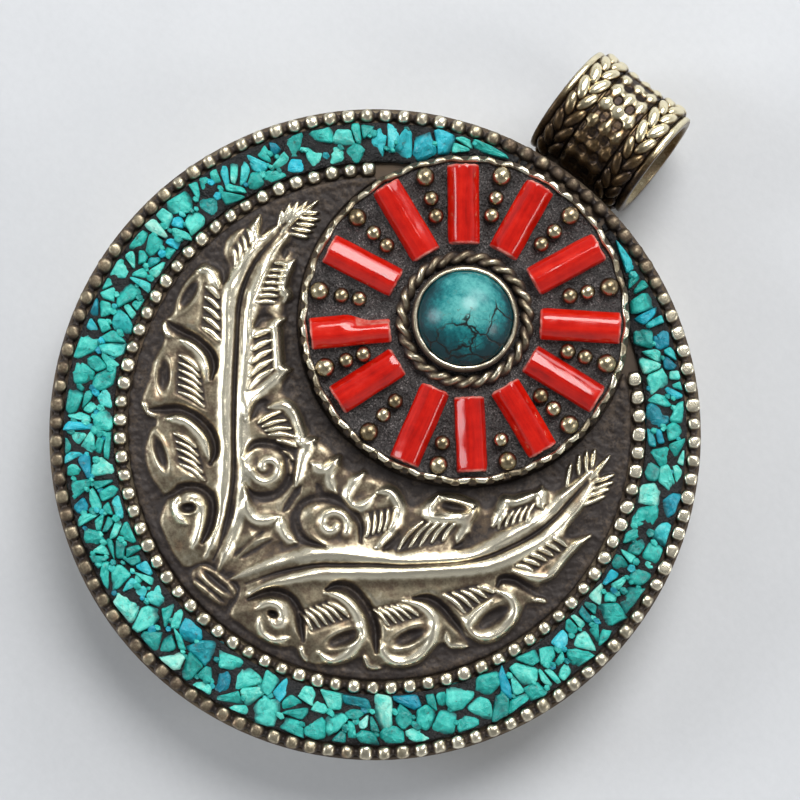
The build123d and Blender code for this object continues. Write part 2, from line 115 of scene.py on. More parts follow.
# Mesh building
class Shape:
    """Points, faces and per-point values gathered for one mesh."""

    def __init__(self):
        self.points = []
        self.faces = []
        self.values = {}
        self.count = 0

    def add(self, points, faces, **values):
        points = np.asarray(points, float).reshape(-1, 3)
        self.faces.extend([tuple(int(i) + self.count for i in face) for face in faces])
        self.points.append(points)
        for key, value in values.items():
            value = np.broadcast_to(np.asarray(value, float), (len(points),))
            self.values.setdefault(key, []).append(value)
        self.count += len(points)


def circle(count):
    """Angles of count even steps round a circle."""
    return 2 * math.pi * np.arange(count) / count


def about(turn, radius, level, centre_y):
    """Points of each radius and level, one row for each turn about a centre on the middle line."""
    x = radius * np.cos(turn)[:, None]
    y = centre_y + radius * np.sin(turn)[:, None]
    return np.stack((x, y, level), -1)


def tube_faces(rows, columns, closed=True):
    """Faces of a tube made of rows of points round it, capped at both ends unless it is closed."""
    i, j = np.meshgrid(np.arange(rows if closed else rows - 1), np.arange(columns), indexing="ij")
    below, beside = (i + 1) % rows, (j + 1) % columns
    corners = (i * columns + j, below * columns + j, below * columns + beside, i * columns + beside)
    faces = [tuple(face) for face in np.stack(corners, -1).reshape(-1, 4)]
    if not closed:
        faces.append(tuple(range(columns)))
        faces.append(tuple(range((rows - 1) * columns, rows * columns)))
    return faces


def pole_faces(rings, segments):
    """Faces of a closed surface made of rings of points between two poles."""
    faces = []
    last = 1 + rings * segments
    for segment in range(segments):
        beside = (segment + 1) % segments
        faces.append((0, 1 + segment, 1 + beside))
        faces.append((last, last - segments + beside, last - segments + segment))
    for ring in range(rings - 1):
        start = 1 + ring * segments
        below = start + segments
        for segment in range(segments):
            beside = (segment + 1) % segments
            faces.append((start + segment, below + segment, below + beside, start + beside))
    return faces


def ball_points(rings, segments):
    """Unit sphere as points and faces, with one point at each pole."""
    points = [(0.0, 0.0, 1.0)]
    for ring in range(1, rings):
        slope = math.pi * ring / rings
        reach, level = math.sin(slope), math.cos(slope)
        for segment in range(segments):
            turn = 2 * math.pi * segment / segments
            points.append((reach * math.cos(turn), reach * math.sin(turn), level))
    points.append((0.0, 0.0, -1.0))
    return np.array(points), pole_faces(rings - 1, segments)


def make_piece(name, shape, material, replaced, smooth=True):
    """One visible piece that rides on the case and stands in for the replaced nodes."""
    mesh = bpy.data.meshes.new(name)
    mesh.from_pydata((np.concatenate(shape.points) * MM).tolist(), [], shape.faces)
    for key, parts in shape.values.items():
        layer = mesh.attributes.new(key, "FLOAT", "POINT")
        layer.data.foreach_set("value", np.concatenate(parts).astype(np.float32))
    mesh.polygons.foreach_set("use_smooth", np.full(len(mesh.polygons), smooth))
    work = bmesh.new()
    work.from_mesh(mesh)
    bmesh.ops.recalc_face_normals(work, faces=work.faces)
    work.to_mesh(mesh)
    work.free()
    mesh.materials.append(material)
    made = bpy.data.objects.new(name, mesh)
    bpy.context.scene.collection.objects.link(made)
    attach(made, "case")
    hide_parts(*replaced)


# Materials
class Nodes:
    """A material's node tree with short calls for the nodes used here."""

    def __init__(self, name):
        self.material = bpy.data.materials.new(name)
        self.material.use_nodes = True
        self.tree = self.material.node_tree
        self.shader = self.tree.nodes["Principled BSDF"]
        self.place = self.tree.nodes.new("ShaderNodeTexCoord").outputs["Object"]

    def link(self, source, target):
        self.tree.links.new(source, target)

    def noise(self, size, detail=3.0, rough=0.55, place=None):
        """Noise whose features are about size millimetres across."""
        node = self.tree.nodes.new("ShaderNodeTexNoise")
        node.inputs["Scale"].default_value = 1 / (size * MM)
        node.inputs["Detail"].default_value = detail
        node.inputs["Roughness"].default_value = rough
        self.link(place or self.place, node.inputs["Vector"])
        return node.outputs["Fac"]

    def cells(self, size, feature="DISTANCE_TO_EDGE", place=None):
        """Distance within cells about size millimetres across."""
        node = self.tree.nodes.new("ShaderNodeTexVoronoi")
        node.feature = feature
        node.inputs["Scale"].default_value = 1 / (size * MM)
        self.link(place or self.place, node.inputs["Vector"])
        return node.outputs["Distance"]

    def stretched(self, *scale):
        """The object's own coordinates, each axis scaled by itself."""
        node = self.tree.nodes.new("ShaderNodeVectorMath")
        node.operation = "MULTIPLY"
        node.inputs[1].default_value = scale
        self.link(self.place, node.inputs[0])
        return node.outputs["Vector"]

    def swayed(self, scale, depth):
        """The object's own coordinates, shifted by a noise of this scale and depth in metres."""
        sway = self.tree.nodes.new("ShaderNodeTexNoise")
        sway.inputs["Scale"].default_value = scale
        sway.inputs["Detail"].default_value = 4.0
        self.link(self.place, sway.inputs["Vector"])
        shift = self.tree.nodes.new("ShaderNodeVectorMath")
        shift.operation = "MULTIPLY_ADD"
        self.link(sway.outputs["Color"], shift.inputs[0])
        shift.inputs[1].default_value = (depth, depth, depth)
        self.link(self.place, shift.inputs[2])
        return shift.outputs["Vector"]

    def value(self, name):
        """A value that the mesh holds for each of its points."""
        node = self.tree.nodes.new("ShaderNodeAttribute")
        node.attribute_name = name
        return node.outputs["Fac"]

    def math(self, kind, a, b):
        node = self.tree.nodes.new("ShaderNodeMath")
        node.operation = kind
        for socket, given in zip(node.inputs, (a, b)):
            if isinstance(given, (int, float)):
                socket.default_value = given
            else:
                self.link(given, socket)
        return node.outputs["Value"]

    def plus(self, a, b):
        return self.math("ADD", a, b)

    def times(self, a, b):
        return self.math("MULTIPLY", a, b)

    def blend(self, a, share_a, b, share_b):
        """The sum of two sources, each multiplied by its share."""
        return self.plus(self.times(a, share_a), self.times(b, share_b))

    def waver(self, source, uneven, depth):
        """source made uneven, up and down, by a noise that lies round 0.5."""
        return self.plus(source, self.times(self.math("SUBTRACT", uneven, 0.5), depth))

    def spread(self, source, low, high, to_low=0.0, to_high=1.0):
        """source mapped from low..high to to_low..to_high, held at the ends."""
        node = self.tree.nodes.new("ShaderNodeMapRange")
        node.interpolation_type = "SMOOTHSTEP"
        for key, given in (("From Min", low), ("From Max", high), ("To Min", to_low), ("To Max", to_high)):
            node.inputs[key].default_value = given
        self.link(source, node.inputs["Value"])
        return node.outputs["Result"]

    def colours(self, source, stops):
        node = self.tree.nodes.new("ShaderNodeValToRGB")
        band = node.color_ramp
        while len(band.elements) < len(stops):
            band.elements.new(1.0)
        for element, (at, colour) in zip(band.elements, stops):
            element.position = at
            element.color = (*colour, 1.0)
        self.link(source, node.inputs["Fac"])
        return node.outputs["Color"]

    def tint(self, share, base, colour):
        """The base colour with a share of a fixed colour, or of another colour source, over it."""
        node = self.tree.nodes.new("ShaderNodeMix")
        node.data_type = "RGBA"
        self.link(share, node.inputs["Factor"])
        below, above = [socket for socket in node.inputs if socket.type == "RGBA"]
        self.link(base, below)
        if isinstance(colour, tuple):
            above.default_value = (*colour, 1.0)
        else:
            self.link(colour, above)
        return [socket for socket in node.outputs if socket.type == "RGBA"][0]

    def bump(self, height, depth, strength):
        """Surface unevenness of the given depth in millimetres."""
        node = self.tree.nodes.new("ShaderNodeBump")
        node.inputs["Strength"].default_value = strength
        node.inputs["Distance"].default_value = depth * MM
        self.link(height, node.inputs["Height"])
        self.link(node.outputs["Normal"], self.shader.inputs["Normal"])

    def set(self, **given):
        for key, value in given.items():
            socket = self.shader.inputs[key.replace("_", " ")]
            if isinstance(value, (int, float)):
                socket.default_value = value
            else:
                self.link(value, socket)


def aged_metal(name, polish=None, warm=0.0, grain=0.25, rough=(0.58, 0.33), least_metal=0.35):
    """White metal with dark patina in its hollows and bright worn crests.

    polish is the even wear of a piece that has no wear values of its own, rough holds the
    roughness of the dark and of the bright metal, and least_metal is how metallic the patina is.
    """
    m = Nodes(name)
    blotch = m.noise(1.6, 5.0, 0.6)
    fine = m.noise(grain, 4.0, 0.65)
    if polish is None:
        wear = m.waver(m.value("wear"), blotch, 0.5)
        wear = m.waver(wear, fine, 0.5)
    else:
        brushed = m.noise(0.8, 4.0, 0.6, m.stretched(0.12, 0.12, 2.0))
        cloud = m.noise(11.0, 4.0, 0.55)
        wear = m.spread(m.blend(brushed, 0.5, cloud, 0.5), 0.3, 0.7, polish - 0.16, polish + 0.16)
        wear = m.waver(wear, fine, 0.10)
    black = (0.026, 0.019, 0.017)
    low = (0.105 + 0.025 * warm, 0.083, 0.068 - 0.028 * warm)
    middle = (0.37, 0.325 - 0.02 * warm, 0.240 - 0.05 * warm)
    bright = (0.97, 0.92 - 0.05 * warm, 0.78 - 0.18 * warm)
    colour = m.colours(wear, ((0.0, black), (0.26, low), (0.52, middle), (0.90, bright)))
    copper = (0.50, 0.27, 0.15)
    blush = m.times(m.spread(m.noise(2.2, 2.0, 0.5), 0.62, 0.74), m.spread(wear, 0.2, 0.5))
    m.set(Base_Color=m.tint(m.times(blush, 0.30), colour, copper))
    m.set(Metallic=m.spread(wear, 0.05, 0.4, least_metal, 1.0))
    m.set(Roughness=m.spread(wear, 0.0, 0.9, *rough))
    m.bump(m.blend(fine, 0.6, blotch, 0.4), 0.05, 0.6)
    return m.material


def turquoise_material():
    """Green and blue turquoise with brown stains, and painted shade down the broken sides of each chip."""
    m = Nodes("turquoise_chip")
    cloud = m.noise(0.8, 4.0, 0.65)
    fine = m.noise(0.14, 3.0, 0.6)
    shade = m.waver(m.value("tone"), cloud, 0.95)
    green = m.colours(
        shade,
        (
            (0.0, (0.003, 0.130, 0.125)),
            (0.25, (0.008, 0.290, 0.260)),
            (0.5, (0.025, 0.470, 0.410)),
            (0.75, (0.100, 0.640, 0.545)),
            (1.0, (0.360, 0.760, 0.640)),
        ),
    )
    blue = m.colours(
        shade,
        (
            (0.0, (0.002, 0.120, 0.180)),
            (0.4, (0.004, 0.300, 0.420)),
            (0.7, (0.012, 0.480, 0.610)),
            (1.0, (0.160, 0.680, 0.740)),
        ),
    )
    brown = (0.045, 0.075, 0.055)
    chalk = (0.33, 0.68, 0.62)
    chip_side_shade = (0.003, 0.055, 0.065)
    colour = m.tint(m.spread(m.value("blue"), 0.72, 0.98), green, blue)
    stain = m.times(m.spread(m.noise(0.5, 4.0, 0.7), 0.56, 0.68), m.spread(cloud, 0.62, 0.40))
    colour = m.tint(m.times(stain, 0.75), colour, brown)
    colour = m.tint(m.spread(fine, 0.60, 0.78, 0.0, 0.4), colour, chalk)
    # Painted shade on the chips' sides, from the side values
    colour = m.tint(m.spread(m.value("side"), 0.25, 1.0, 0.0, 0.8), colour, chip_side_shade)
    m.set(Base_Color=colour, Roughness=m.spread(cloud, 0.3, 0.7, 0.28, 0.5))
    m.bump(m.blend(fine, 0.5, cloud, 1.0), 0.14, 0.8)
    return m.material


def resin_material(name, dark, pale):
    """Black resin full of grit."""
    m = Nodes(name)
    grit = m.noise(0.17, 3.0, 0.7)
    grain = m.cells(0.30, "F1")
    patch = m.noise(1.7, 3.0, 0.6)
    mixed = m.blend(grit, 0.75, patch, 0.25)
    speckled = tuple(0.85 * a + 0.15 * b for a, b in zip(dark, pale))
    colour = m.colours(mixed, ((0.40, dark), (0.56, speckled), (0.70, pale)))
    m.set(Base_Color=colour, Roughness=m.spread(grit, 0.35, 0.7, 0.34, 0.75))
    m.bump(m.math("SUBTRACT", mixed, m.times(grain, 0.6)), 0.24, 0.9)
    return m.material


def coral_material():
    """Polished red coral, streaked along each rod and paler where it is worn."""
    m = Nodes("coral_red")
    lay = m.tree.nodes.new("ShaderNodeCombineXYZ")
    for axis, key in zip("XYZ", ("lay_x", "lay_y", "lay_z")):
        m.link(m.value(key), lay.inputs[axis])
    streak = m.noise(1.0, 3.0, 0.6, lay.outputs["Vector"])
    cloud = m.noise(1.3, 3.0, 0.6)
    pits = m.noise(0.22, 2.0, 0.5)
    shade = m.plus(m.blend(streak, 0.6, cloud, 0.4), m.value("tone"))
    red = m.colours(
        shade,
        (
            (0.2, (0.20, 0.002, 0.001)),
            (0.45, (0.47, 0.006, 0.002)),
            (0.62, (0.60, 0.012, 0.004)),
            (0.85, (0.66, 0.06, 0.03)),
        ),
    )
    pink = (0.62, 0.21, 0.17)
    pale = m.times(m.spread(m.value("worn"), 0.3, 0.8), m.spread(cloud, 0.4, 0.6, 0.25, 0.9))
    m.set(Base_Color=m.tint(pale, red, pink), Roughness=m.spread(cloud, 0.35, 0.7, 0.07, 0.16))
    m.bump(m.blend(pits, 0.2, streak, 1.0), 0.02, 0.4)
    return m.material


def stone_material():
    """Dark turquoise with black veins, a rusty patch, and painted light and shade from the pale values."""
    m = Nodes("veined_turquoise")
    swayed = m.swayed(420, 0.0022)
    cloud = m.noise(3.2, 6.0, 0.62)
    fine = m.noise(0.35, 4.0, 0.6)
    shade = m.math("SUBTRACT", m.blend(cloud, 1.3, fine, 0.4), 0.35)
    # The pale values paint light on the upper middle of the stone and shade at its rim
    colour = m.colours(
        m.plus(shade, m.value("pale")),
        (
            (0.26, (0.002, 0.035, 0.044)),
            (0.44, (0.005, 0.095, 0.110)),
            (0.60, (0.018, 0.205, 0.215)),
            (0.84, (0.100, 0.400, 0.385)),
        ),
    )
    rusty = (0.075, 0.050, 0.030)
    black = (0.006, 0.010, 0.010)
    rust = m.times(m.spread(m.noise(0.7, 5.0, 0.7), 0.56, 0.68), m.value("rust"))
    colour = m.tint(rust, colour, rusty)
    vein = m.spread(m.cells(2.7, place=swayed), 0.012, 0.050, 1.0, 0.0)
    thin = m.spread(m.cells(1.4, place=swayed), 0.006, 0.030, 0.9, 0.0)
    lines = m.math("MAXIMUM", vein, m.times(thin, m.spread(cloud, 0.45, 0.6)))
    lines = m.times(lines, m.value("vein"))
    colour = m.tint(lines, colour, black)
    m.set(Base_Color=colour, Specular_IOR_Level=0.35, Roughness=m.spread(lines, 0.0, 1.0, 0.24, 0.4))
    m.bump(m.blend(lines, -1.0, fine, 0.2), 0.03, 0.5)
    return m.material


def floor_material():
    """Plain pale ground."""
    m = Nodes("pale_floor")
    patch = m.noise(38.0, 4.0, 0.6)
    fine = m.noise(0.8, 3.0, 0.6)
    grey = (0.56, 0.575, 0.60)
    pale = (0.63, 0.645, 0.67)
    m.set(Base_Color=m.colours(m.blend(patch, 0.7, fine, 0.3), ((0.3, grey), (0.7, pale))), Roughness=0.7)
    m.bump(fine, 0.05, 0.3)
    return m.material


worn_metal = aged_metal("aged_white_metal", warm=0.4, rough=(0.56, 0.27))
brassy_metal = aged_metal("aged_white_metal_warm", warm=1.0, rough=(0.34, 0.24), least_metal=0.9)
plain_metal = aged_metal("aged_white_metal_plain", polish=0.56, warm=0.2, grain=0.5)
dark_metal = aged_metal("aged_white_metal_dark", polish=0.24, warm=0.4, grain=0.5)
chip_stone = turquoise_material()
mosaic_resin = resin_material("black_resin", (0.002, 0.002, 0.003), (0.022, 0.021, 0.021))
boss_resin = resin_material("black_resin_boss", (0.006, 0.004, 0.004), (0.420, 0.380, 0.370))
coral = coral_material()
veined_stone = stone_material()


# Lines and outlines on a grid
def smooth_line(points, closed=False, steps=6):
    """Catmull-Rom line through the points."""
    p = np.asarray(points, float).reshape(-1, 2)
    if closed:
        before, after, beyond = np.roll(p, 1, 0), np.roll(p, -1, 0), np.roll(p, -2, 0)
        here = p
    else:
        padded = np.vstack((2 * p[0] - p[1], p, 2 * p[-1] - p[-2]))
        before, here, after, beyond = padded[:-3], padded[1:-2], padded[2:-1], padded[3:]
    t = (np.arange(steps) / steps)[None, :, None]
    a, b, c, d = (q[:, None, :] for q in (before, here, after, beyond))
    run = 0.5 * (2 * b + (c - a) * t + (2 * a - 5 * b + 4 * c - d) * t**2 + (3 * b - a - 3 * c + d) * t**3)
    run = run.reshape(-1, 2)
    return run if closed else np.vstack((run, p[-1]))


def line_distance(x, y, line):
    """Distance to a line of points and the share of its length at the nearest place, for every x, y."""
    nearest = np.full(x.shape, 1e9)
    share = np.zeros(x.shape)
    lengths = np.hypot(*np.diff(line, axis=0).T)
    total, done = lengths.sum(), 0.0
    for (ax, ay), (bx, by), length in zip(line[:-1], line[1:], lengths):
        ux, uy = (bx - ax) / length, (by - ay) / length
        t = np.clip((x - ax) * ux + (y - ay) * uy, 0, length)
        gap = np.hypot(x - ax - t * ux, y - ay - t * uy)
        closer = gap < nearest
        nearest = np.where(closer, gap, nearest)
        share = np.where(closer, (done + t) / total, share)
        done += length
    return nearest, share


def inside_distance(x, y, outline):
    """Distance to a closed outline, positive inside."""
    inside = np.zeros(x.shape, bool)
    for (ax, ay), (bx, by) in zip(outline, np.roll(outline, -1, 0)):
        crosses = (ay > y) != (by > y)
        at = ax + (y - ay) * (bx - ax) / (by - ay if by != ay else 1e-9)
        inside ^= crosses & (x < at)
    gap, _ = line_distance(x, y, np.vstack((outline, outline[:1])))
    return np.where(inside, gap, -gap)


# Slabs with an uneven top: least share of a step that the grid keeps inside, and pulls onto the outline
EDGE_SHARE = 0.35
EDGE_PULLS = 3


def grid_round(reach, centre_y, step):
    """Places of a square grid that covers a circle on the middle line."""
    n = int(2 * reach / step) + 3
    xs = (np.arange(n) - n // 2) * step
    return np.meshgrid(xs, xs + centre_y)


def whole_cells(keep):
    """Grid cells with all four corners kept, without cells that meet at one corner only."""
    whole = keep[:-1, :-1] & keep[1:, :-1] & keep[:-1, 1:] & keep[1:, 1:]
    pinched = True
    while pinched:
        a, b, c, d = whole[:-1, :-1], whole[:-1, 1:], whole[1:, :-1], whole[1:, 1:]
        pinch = (a & d & ~b & ~c) | (b & c & ~a & ~d)
        pinched = bool(pinch.any())
        whole[1:, :-1] &= ~pinch
        whole[1:, 1:] &= ~pinch
    return whole


def pulled(x, y, inside, edge):
    """Places with the edge ones moved onto the outline where inside(x, y) is 0."""
    nudge = 1e-3
    for _ in range(EDGE_PULLS):
        d = inside(x, y)
        slope_x = (inside(x + nudge, y) - d) / nudge
        slope_y = (inside(x, y + nudge) - d) / nudge
        x = np.where(edge, x - d * slope_x, x)
        y = np.where(edge, y - d * slope_y, y)
    return x, y


def closed_loops(edges):
    """Loops of point numbers that directed edges make."""
    after = {int(a): int(b) for a, b in edges}
    loops = []
    while after:
        first, here = after.popitem()
        loop = [first]
        while here != first:
            loop.append(here)
            here = after.pop(here)
        loops.append(loop)
    return loops


def field_shape(inside, reach, centre_y, step, height, floor_level):
    """A closed slab whose top follows height(x, y), cut to the outline where inside(x, y) is 0."""
    x, y = grid_round(reach, centre_y, step)
    n = len(x)
    whole = whole_cells(inside(x, y) > EDGE_SHARE * step)
    cells_here = np.zeros(x.shape, int)
    for down in (0, 1):
        for right in (0, 1):
            cells_here[down : n - 1 + down, right : n - 1 + right] += whole
    used = cells_here > 0
    x, y = pulled(x, y, inside, used & (cells_here < 4))
    z, values = height(x, y)
    top = np.stack((x[used], y[used], z[used]), -1)
    count = len(top)
    number = np.full(x.shape, -1)
    number[used] = np.arange(count)
    row, column = np.nonzero(whole)
    corners = ((0, 0), (0, 1), (1, 1), (1, 0))
    quads = np.stack([number[row + down, column + right] for down, right in corners], -1)
    edges = np.concatenate([quads[:, [side, (side + 1) % 4]] for side in range(4)])
    keys = edges[:, 0] * count + edges[:, 1]
    back = edges[:, 1] * count + edges[:, 0]
    rim = edges[~np.isin(keys, back)]
    on_rim = np.unique(rim)
    foot = top[on_rim]
    foot[:, 2] = floor_level
    drop = np.full(count, -1)
    drop[on_rim] = count + np.arange(len(on_rim))
    walls = np.stack((rim[:, 1], rim[:, 0], drop[rim[:, 0]], drop[rim[:, 1]]), -1)
    faces = [tuple(face) for face in np.concatenate((quads, walls))]
    faces += [tuple(drop[i] for i in reversed(loop)) for loop in closed_loops(rim)]
    values = {key: np.concatenate((value[used], np.zeros(len(on_rim)))) for key, value in values.items()}
    shape = Shape()
    shape.add(np.vstack((top, foot)), faces, **values)
    return shape


# Embossed leaf panel. Lines are drawn in millimetres from the middle of the disc.
# Outline of the flesh of the left branch, of the right branch and of the small leaves between them
FLESH = (
    (-20.9, 10.0, -21.3, 8.4, -22.5, 10.2, -23.0, 8.6, -23.7, 7.0, -23.8, 5.6, -23.0, 4.2, -22.0, 3.6,
     -23.0, 3.1, -24.1, 2.3, -24.4, 0.4, -24.1, -1.6, -23.5, -3.2, -23.6, -4.4, -22.9, -5.5, -22.3, -6.4,
     -22.0, -8.2, -21.1, -10.2, -20.5, -11.9, -19.2, -12.8, -18.0, -12.9, -17.8, -14.0, -17.1, -15.8,
     -15.3, -17.3, -13.3, -18.0, -12.4, -18.2, -12.2, -19.0, -11.5, -20.4, -9.9, -21.4, -7.8, -22.3,
     -6.3, -22.4, -4.8, -20.8, -3.2, -20.6, -2.6, -18.2, -4.2, -16.4, -5.4, -14.6, -4.2, -12.5,
     -3.2, -10.9, -2.6, -9.2, -3.4, -7.6, -4.0, -6.0, -3.6, -3.7, -4.4, -3.8, -5.2, -4.6, -6.4, -3.9,
     -7.4, -3.1, -8.2, -2.6, -9.2, -3.3, -10.4, -4.5, -10.8, -3.6, -10.9, -2.0, -10.2, 0.0, -11.6, -0.3,
     -12.6, 0.8, -13.7, 1.8, -13.9, 3.4, -14.9, 2.5, -15.7, 2.7, -15.3, 3.8, -14.9, 4.8, -15.2, 5.7,
     -16.0, 5.4, -16.7, 6.8, -16.9, 8.7, -17.8, 7.8, -18.4, 7.7, -18.6, 9.0, -18.7, 10.1),
    (20.3, 9.6, 21.0, 7.6, 21.0, 5.4, 21.3, 4.1, 22.2, 4.6, 23.2, 5.6, 23.3, 3.6, 22.9, 1.8, 23.1, 0.2,
     22.7, -1.0, 22.6, -2.0, 23.7, -2.5, 22.9, -3.7, 22.6, -4.3, 22.9, -6.0, 22.5, -8.3, 21.3, -9.9,
     20.7, -10.8, 19.6, -11.9, 18.4, -12.4, 18.0, -13.6, 17.7, -15.5, 16.3, -17.0, 15.2, -17.8,
     14.0, -18.9, 12.9, -18.7, 12.1, -19.7, 10.9, -21.0, 9.4, -22.1, 8.0, -22.2, 6.9, -22.0, 5.9, -22.8,
     4.0, -23.4, 1.6, -23.5, -0.3, -23.3, -1.2, -20.8, -2.6, -20.6, -2.4, -18.6, -1.4, -16.4, 0.2, -14.4,
     -0.6, -12.6, -1.8, -10.9, -1.7, -9.1, -0.6, -7.8, 0.2, -7.3, 0.9, -6.4, 0.9, -5.2, 1.2, -3.5,
     2.5, -3.6, 2.2, -5.2, 2.8, -6.3, 3.5, -5.8, 3.7, -4.1, 4.8, -3.1, 6.2, -3.5, 7.3, -4.7, 7.8, -6.4,
     8.3, -6.6, 8.7, -4.6, 8.3, -2.4, 8.5, -0.8, 10.2, 0.1, 12.2, 1.1, 12.8, -0.2, 13.3, -2.2, 13.9, -2.4,
     14.4, -0.8, 14.2, 1.0, 13.8, 3.0, 14.8, 3.4, 15.8, 5.1, 16.2, 6.6, 17.0, 5.5, 17.8, 4.9, 18.2, 6.4,
     18.5, 8.2, 19.0, 10.0),
    (-3.3, -6.2, -2.0, -5.8, -1.9, -3.9, -0.7, -3.9, -0.6, -5.9, 0.6, -7.1, -0.5, -7.9, -1.8, -8.6,
     -2.7, -7.4),
    (-5.6, -13.6, -4.4, -14.3, -2.9, -13.9, -2.1, -12.2, -1.1, -13.6, 0.6, -13.6, -0.9, -16.0,
     -2.6, -19.6, -3.4, -19.6, -4.6, -16.4),
    (-5.4, -20.6, -3.0, -20.3, -1.0, -20.4, -0.5, -21.4, -1.0, -23.2, -4.4, -23.4, -6.0, -22.2),
)
# Outline of the low swelling that the small leaves stand on, between the two stems
SWELLING = (
    -20.0, 11.0, -18.2, 9.6, -17.0, 8.2, -15.6, 5.6, -14.4, 3.6, -12.8, 1.4, -11.0, -0.4, -9.6, -2.4,
    -7.6, -2.9, -5.0, -3.9, -2.6, -4.0, 0.4, -4.4, 2.0, -3.6, 5.0, -3.0, 7.2, -3.4, 8.6, -1.2, 10.4, 0.2,
    12.6, 0.8, 13.6, 1.6, 14.6, 3.4, 16.4, 5.8, 17.8, 7.0, 18.8, 9.6, 19.6, 11.2, 19.4, 5.0, 16.0, -3.0,
    10.0, -9.0, 2.4, -15.6, -3.0, -20.6, -6.0, -16.6, -12.0, -7.6, -18.0, 0.6, -20.2, 5.0,
)
# Half width and depth of each hollow, and the line that it follows
HOLLOWS = (
    (0.45, 0.9, -23.6, 3.4, -22.4, 3.5, -21.5, 2.9, -21.1, 2.2),
    (0.50, 1.0, -23.4, -4.3, -21.8, -4.2, -19.8, -3.9, -18.0, -4.0, -16.8, -4.7, -16.1, -5.9),
    (0.55, 1.0, -19.0, -12.2, -17.9, -11.3, -16.6, -10.3, -14.6, -9.9, -12.6, -10.3, -11.3, -11.4,
     -10.9, -12.6),
    (0.55, 1.0, -12.6, -18.3, -11.9, -17.2, -11.5, -16.1, -10.3, -15.2, -8.8, -15.2, -7.8, -16.0,
     -7.1, -17.4, -6.7, -19.2),
    (0.50, 1.0, 23.4, -2.3, 21.6, -2.7, 20.0, -2.9, 18.9, -3.6, 18.9, -4.4),
    (0.50, 1.0, 22.0, -10.6, 20.2, -10.2, 18.0, -9.9, 16.2, -9.5, 14.5, -9.6, 13.2, -10.5),
    (0.55, 1.0, 13.6, -17.0, 12.4, -15.6, 11.0, -14.5, 9.2, -13.8, 7.6, -13.7, 6.4, -14.3, 5.9, -15.2),
    (0.50, 1.0, 7.2, -20.6, 6.2, -19.7, 5.2, -18.7, 3.8, -18.1, 2.3, -18.4, 1.2, -19.4, 0.4, -20.8),
    (0.50, 0.8, -8.7, -9.9, -8.7, -8.4, -7.4, -7.3, -5.6, -7.1, -4.2, -8.2, -3.7, -9.8, -4.2, -11.4,
     -5.6, -12.4, -7.0, -12.0),
    (0.50, 0.8, 5.6, -9.4, 4.4, -8.0, 2.6, -7.5, 0.6, -7.9, -0.9, -9.2, -1.3, -10.8, -0.4, -12.2,
     1.2, -12.7, 3.2, -12.0),
    (0.42, 0.7, -18.0, 8.0, -18.3, 8.9, -17.7, 9.6, -16.8, 9.9),
    (0.42, 0.7, 21.1, 4.2, 21.1, 5.4, 21.4, 6.4),
    (0.40, 0.6, -10.3, -4.2, -10.9, -5.2, -10.5, -6.6),
    (0.35, 0.5, -15.2, 2.6, -16.0, 1.8, -15.9, 0.6),
    (0.40, 0.6, 7.9, -6.2, 8.0, -7.4, 7.9, -8.6),
    (0.40, 0.6, 13.5, -2.2, 13.6, -3.2, 13.2, -4.2),
    (0.40, 0.6, 16.4, 6.0, 15.4, 5.4, 14.6, 4.2),
    (0.40, 0.7, -2.5, -8.8, -2.4, -10.4, -2.3, -11.8),
    (0.35, 0.6, -1.4, -7.6, -0.2, -8.2, 0.6, -7.8),
)
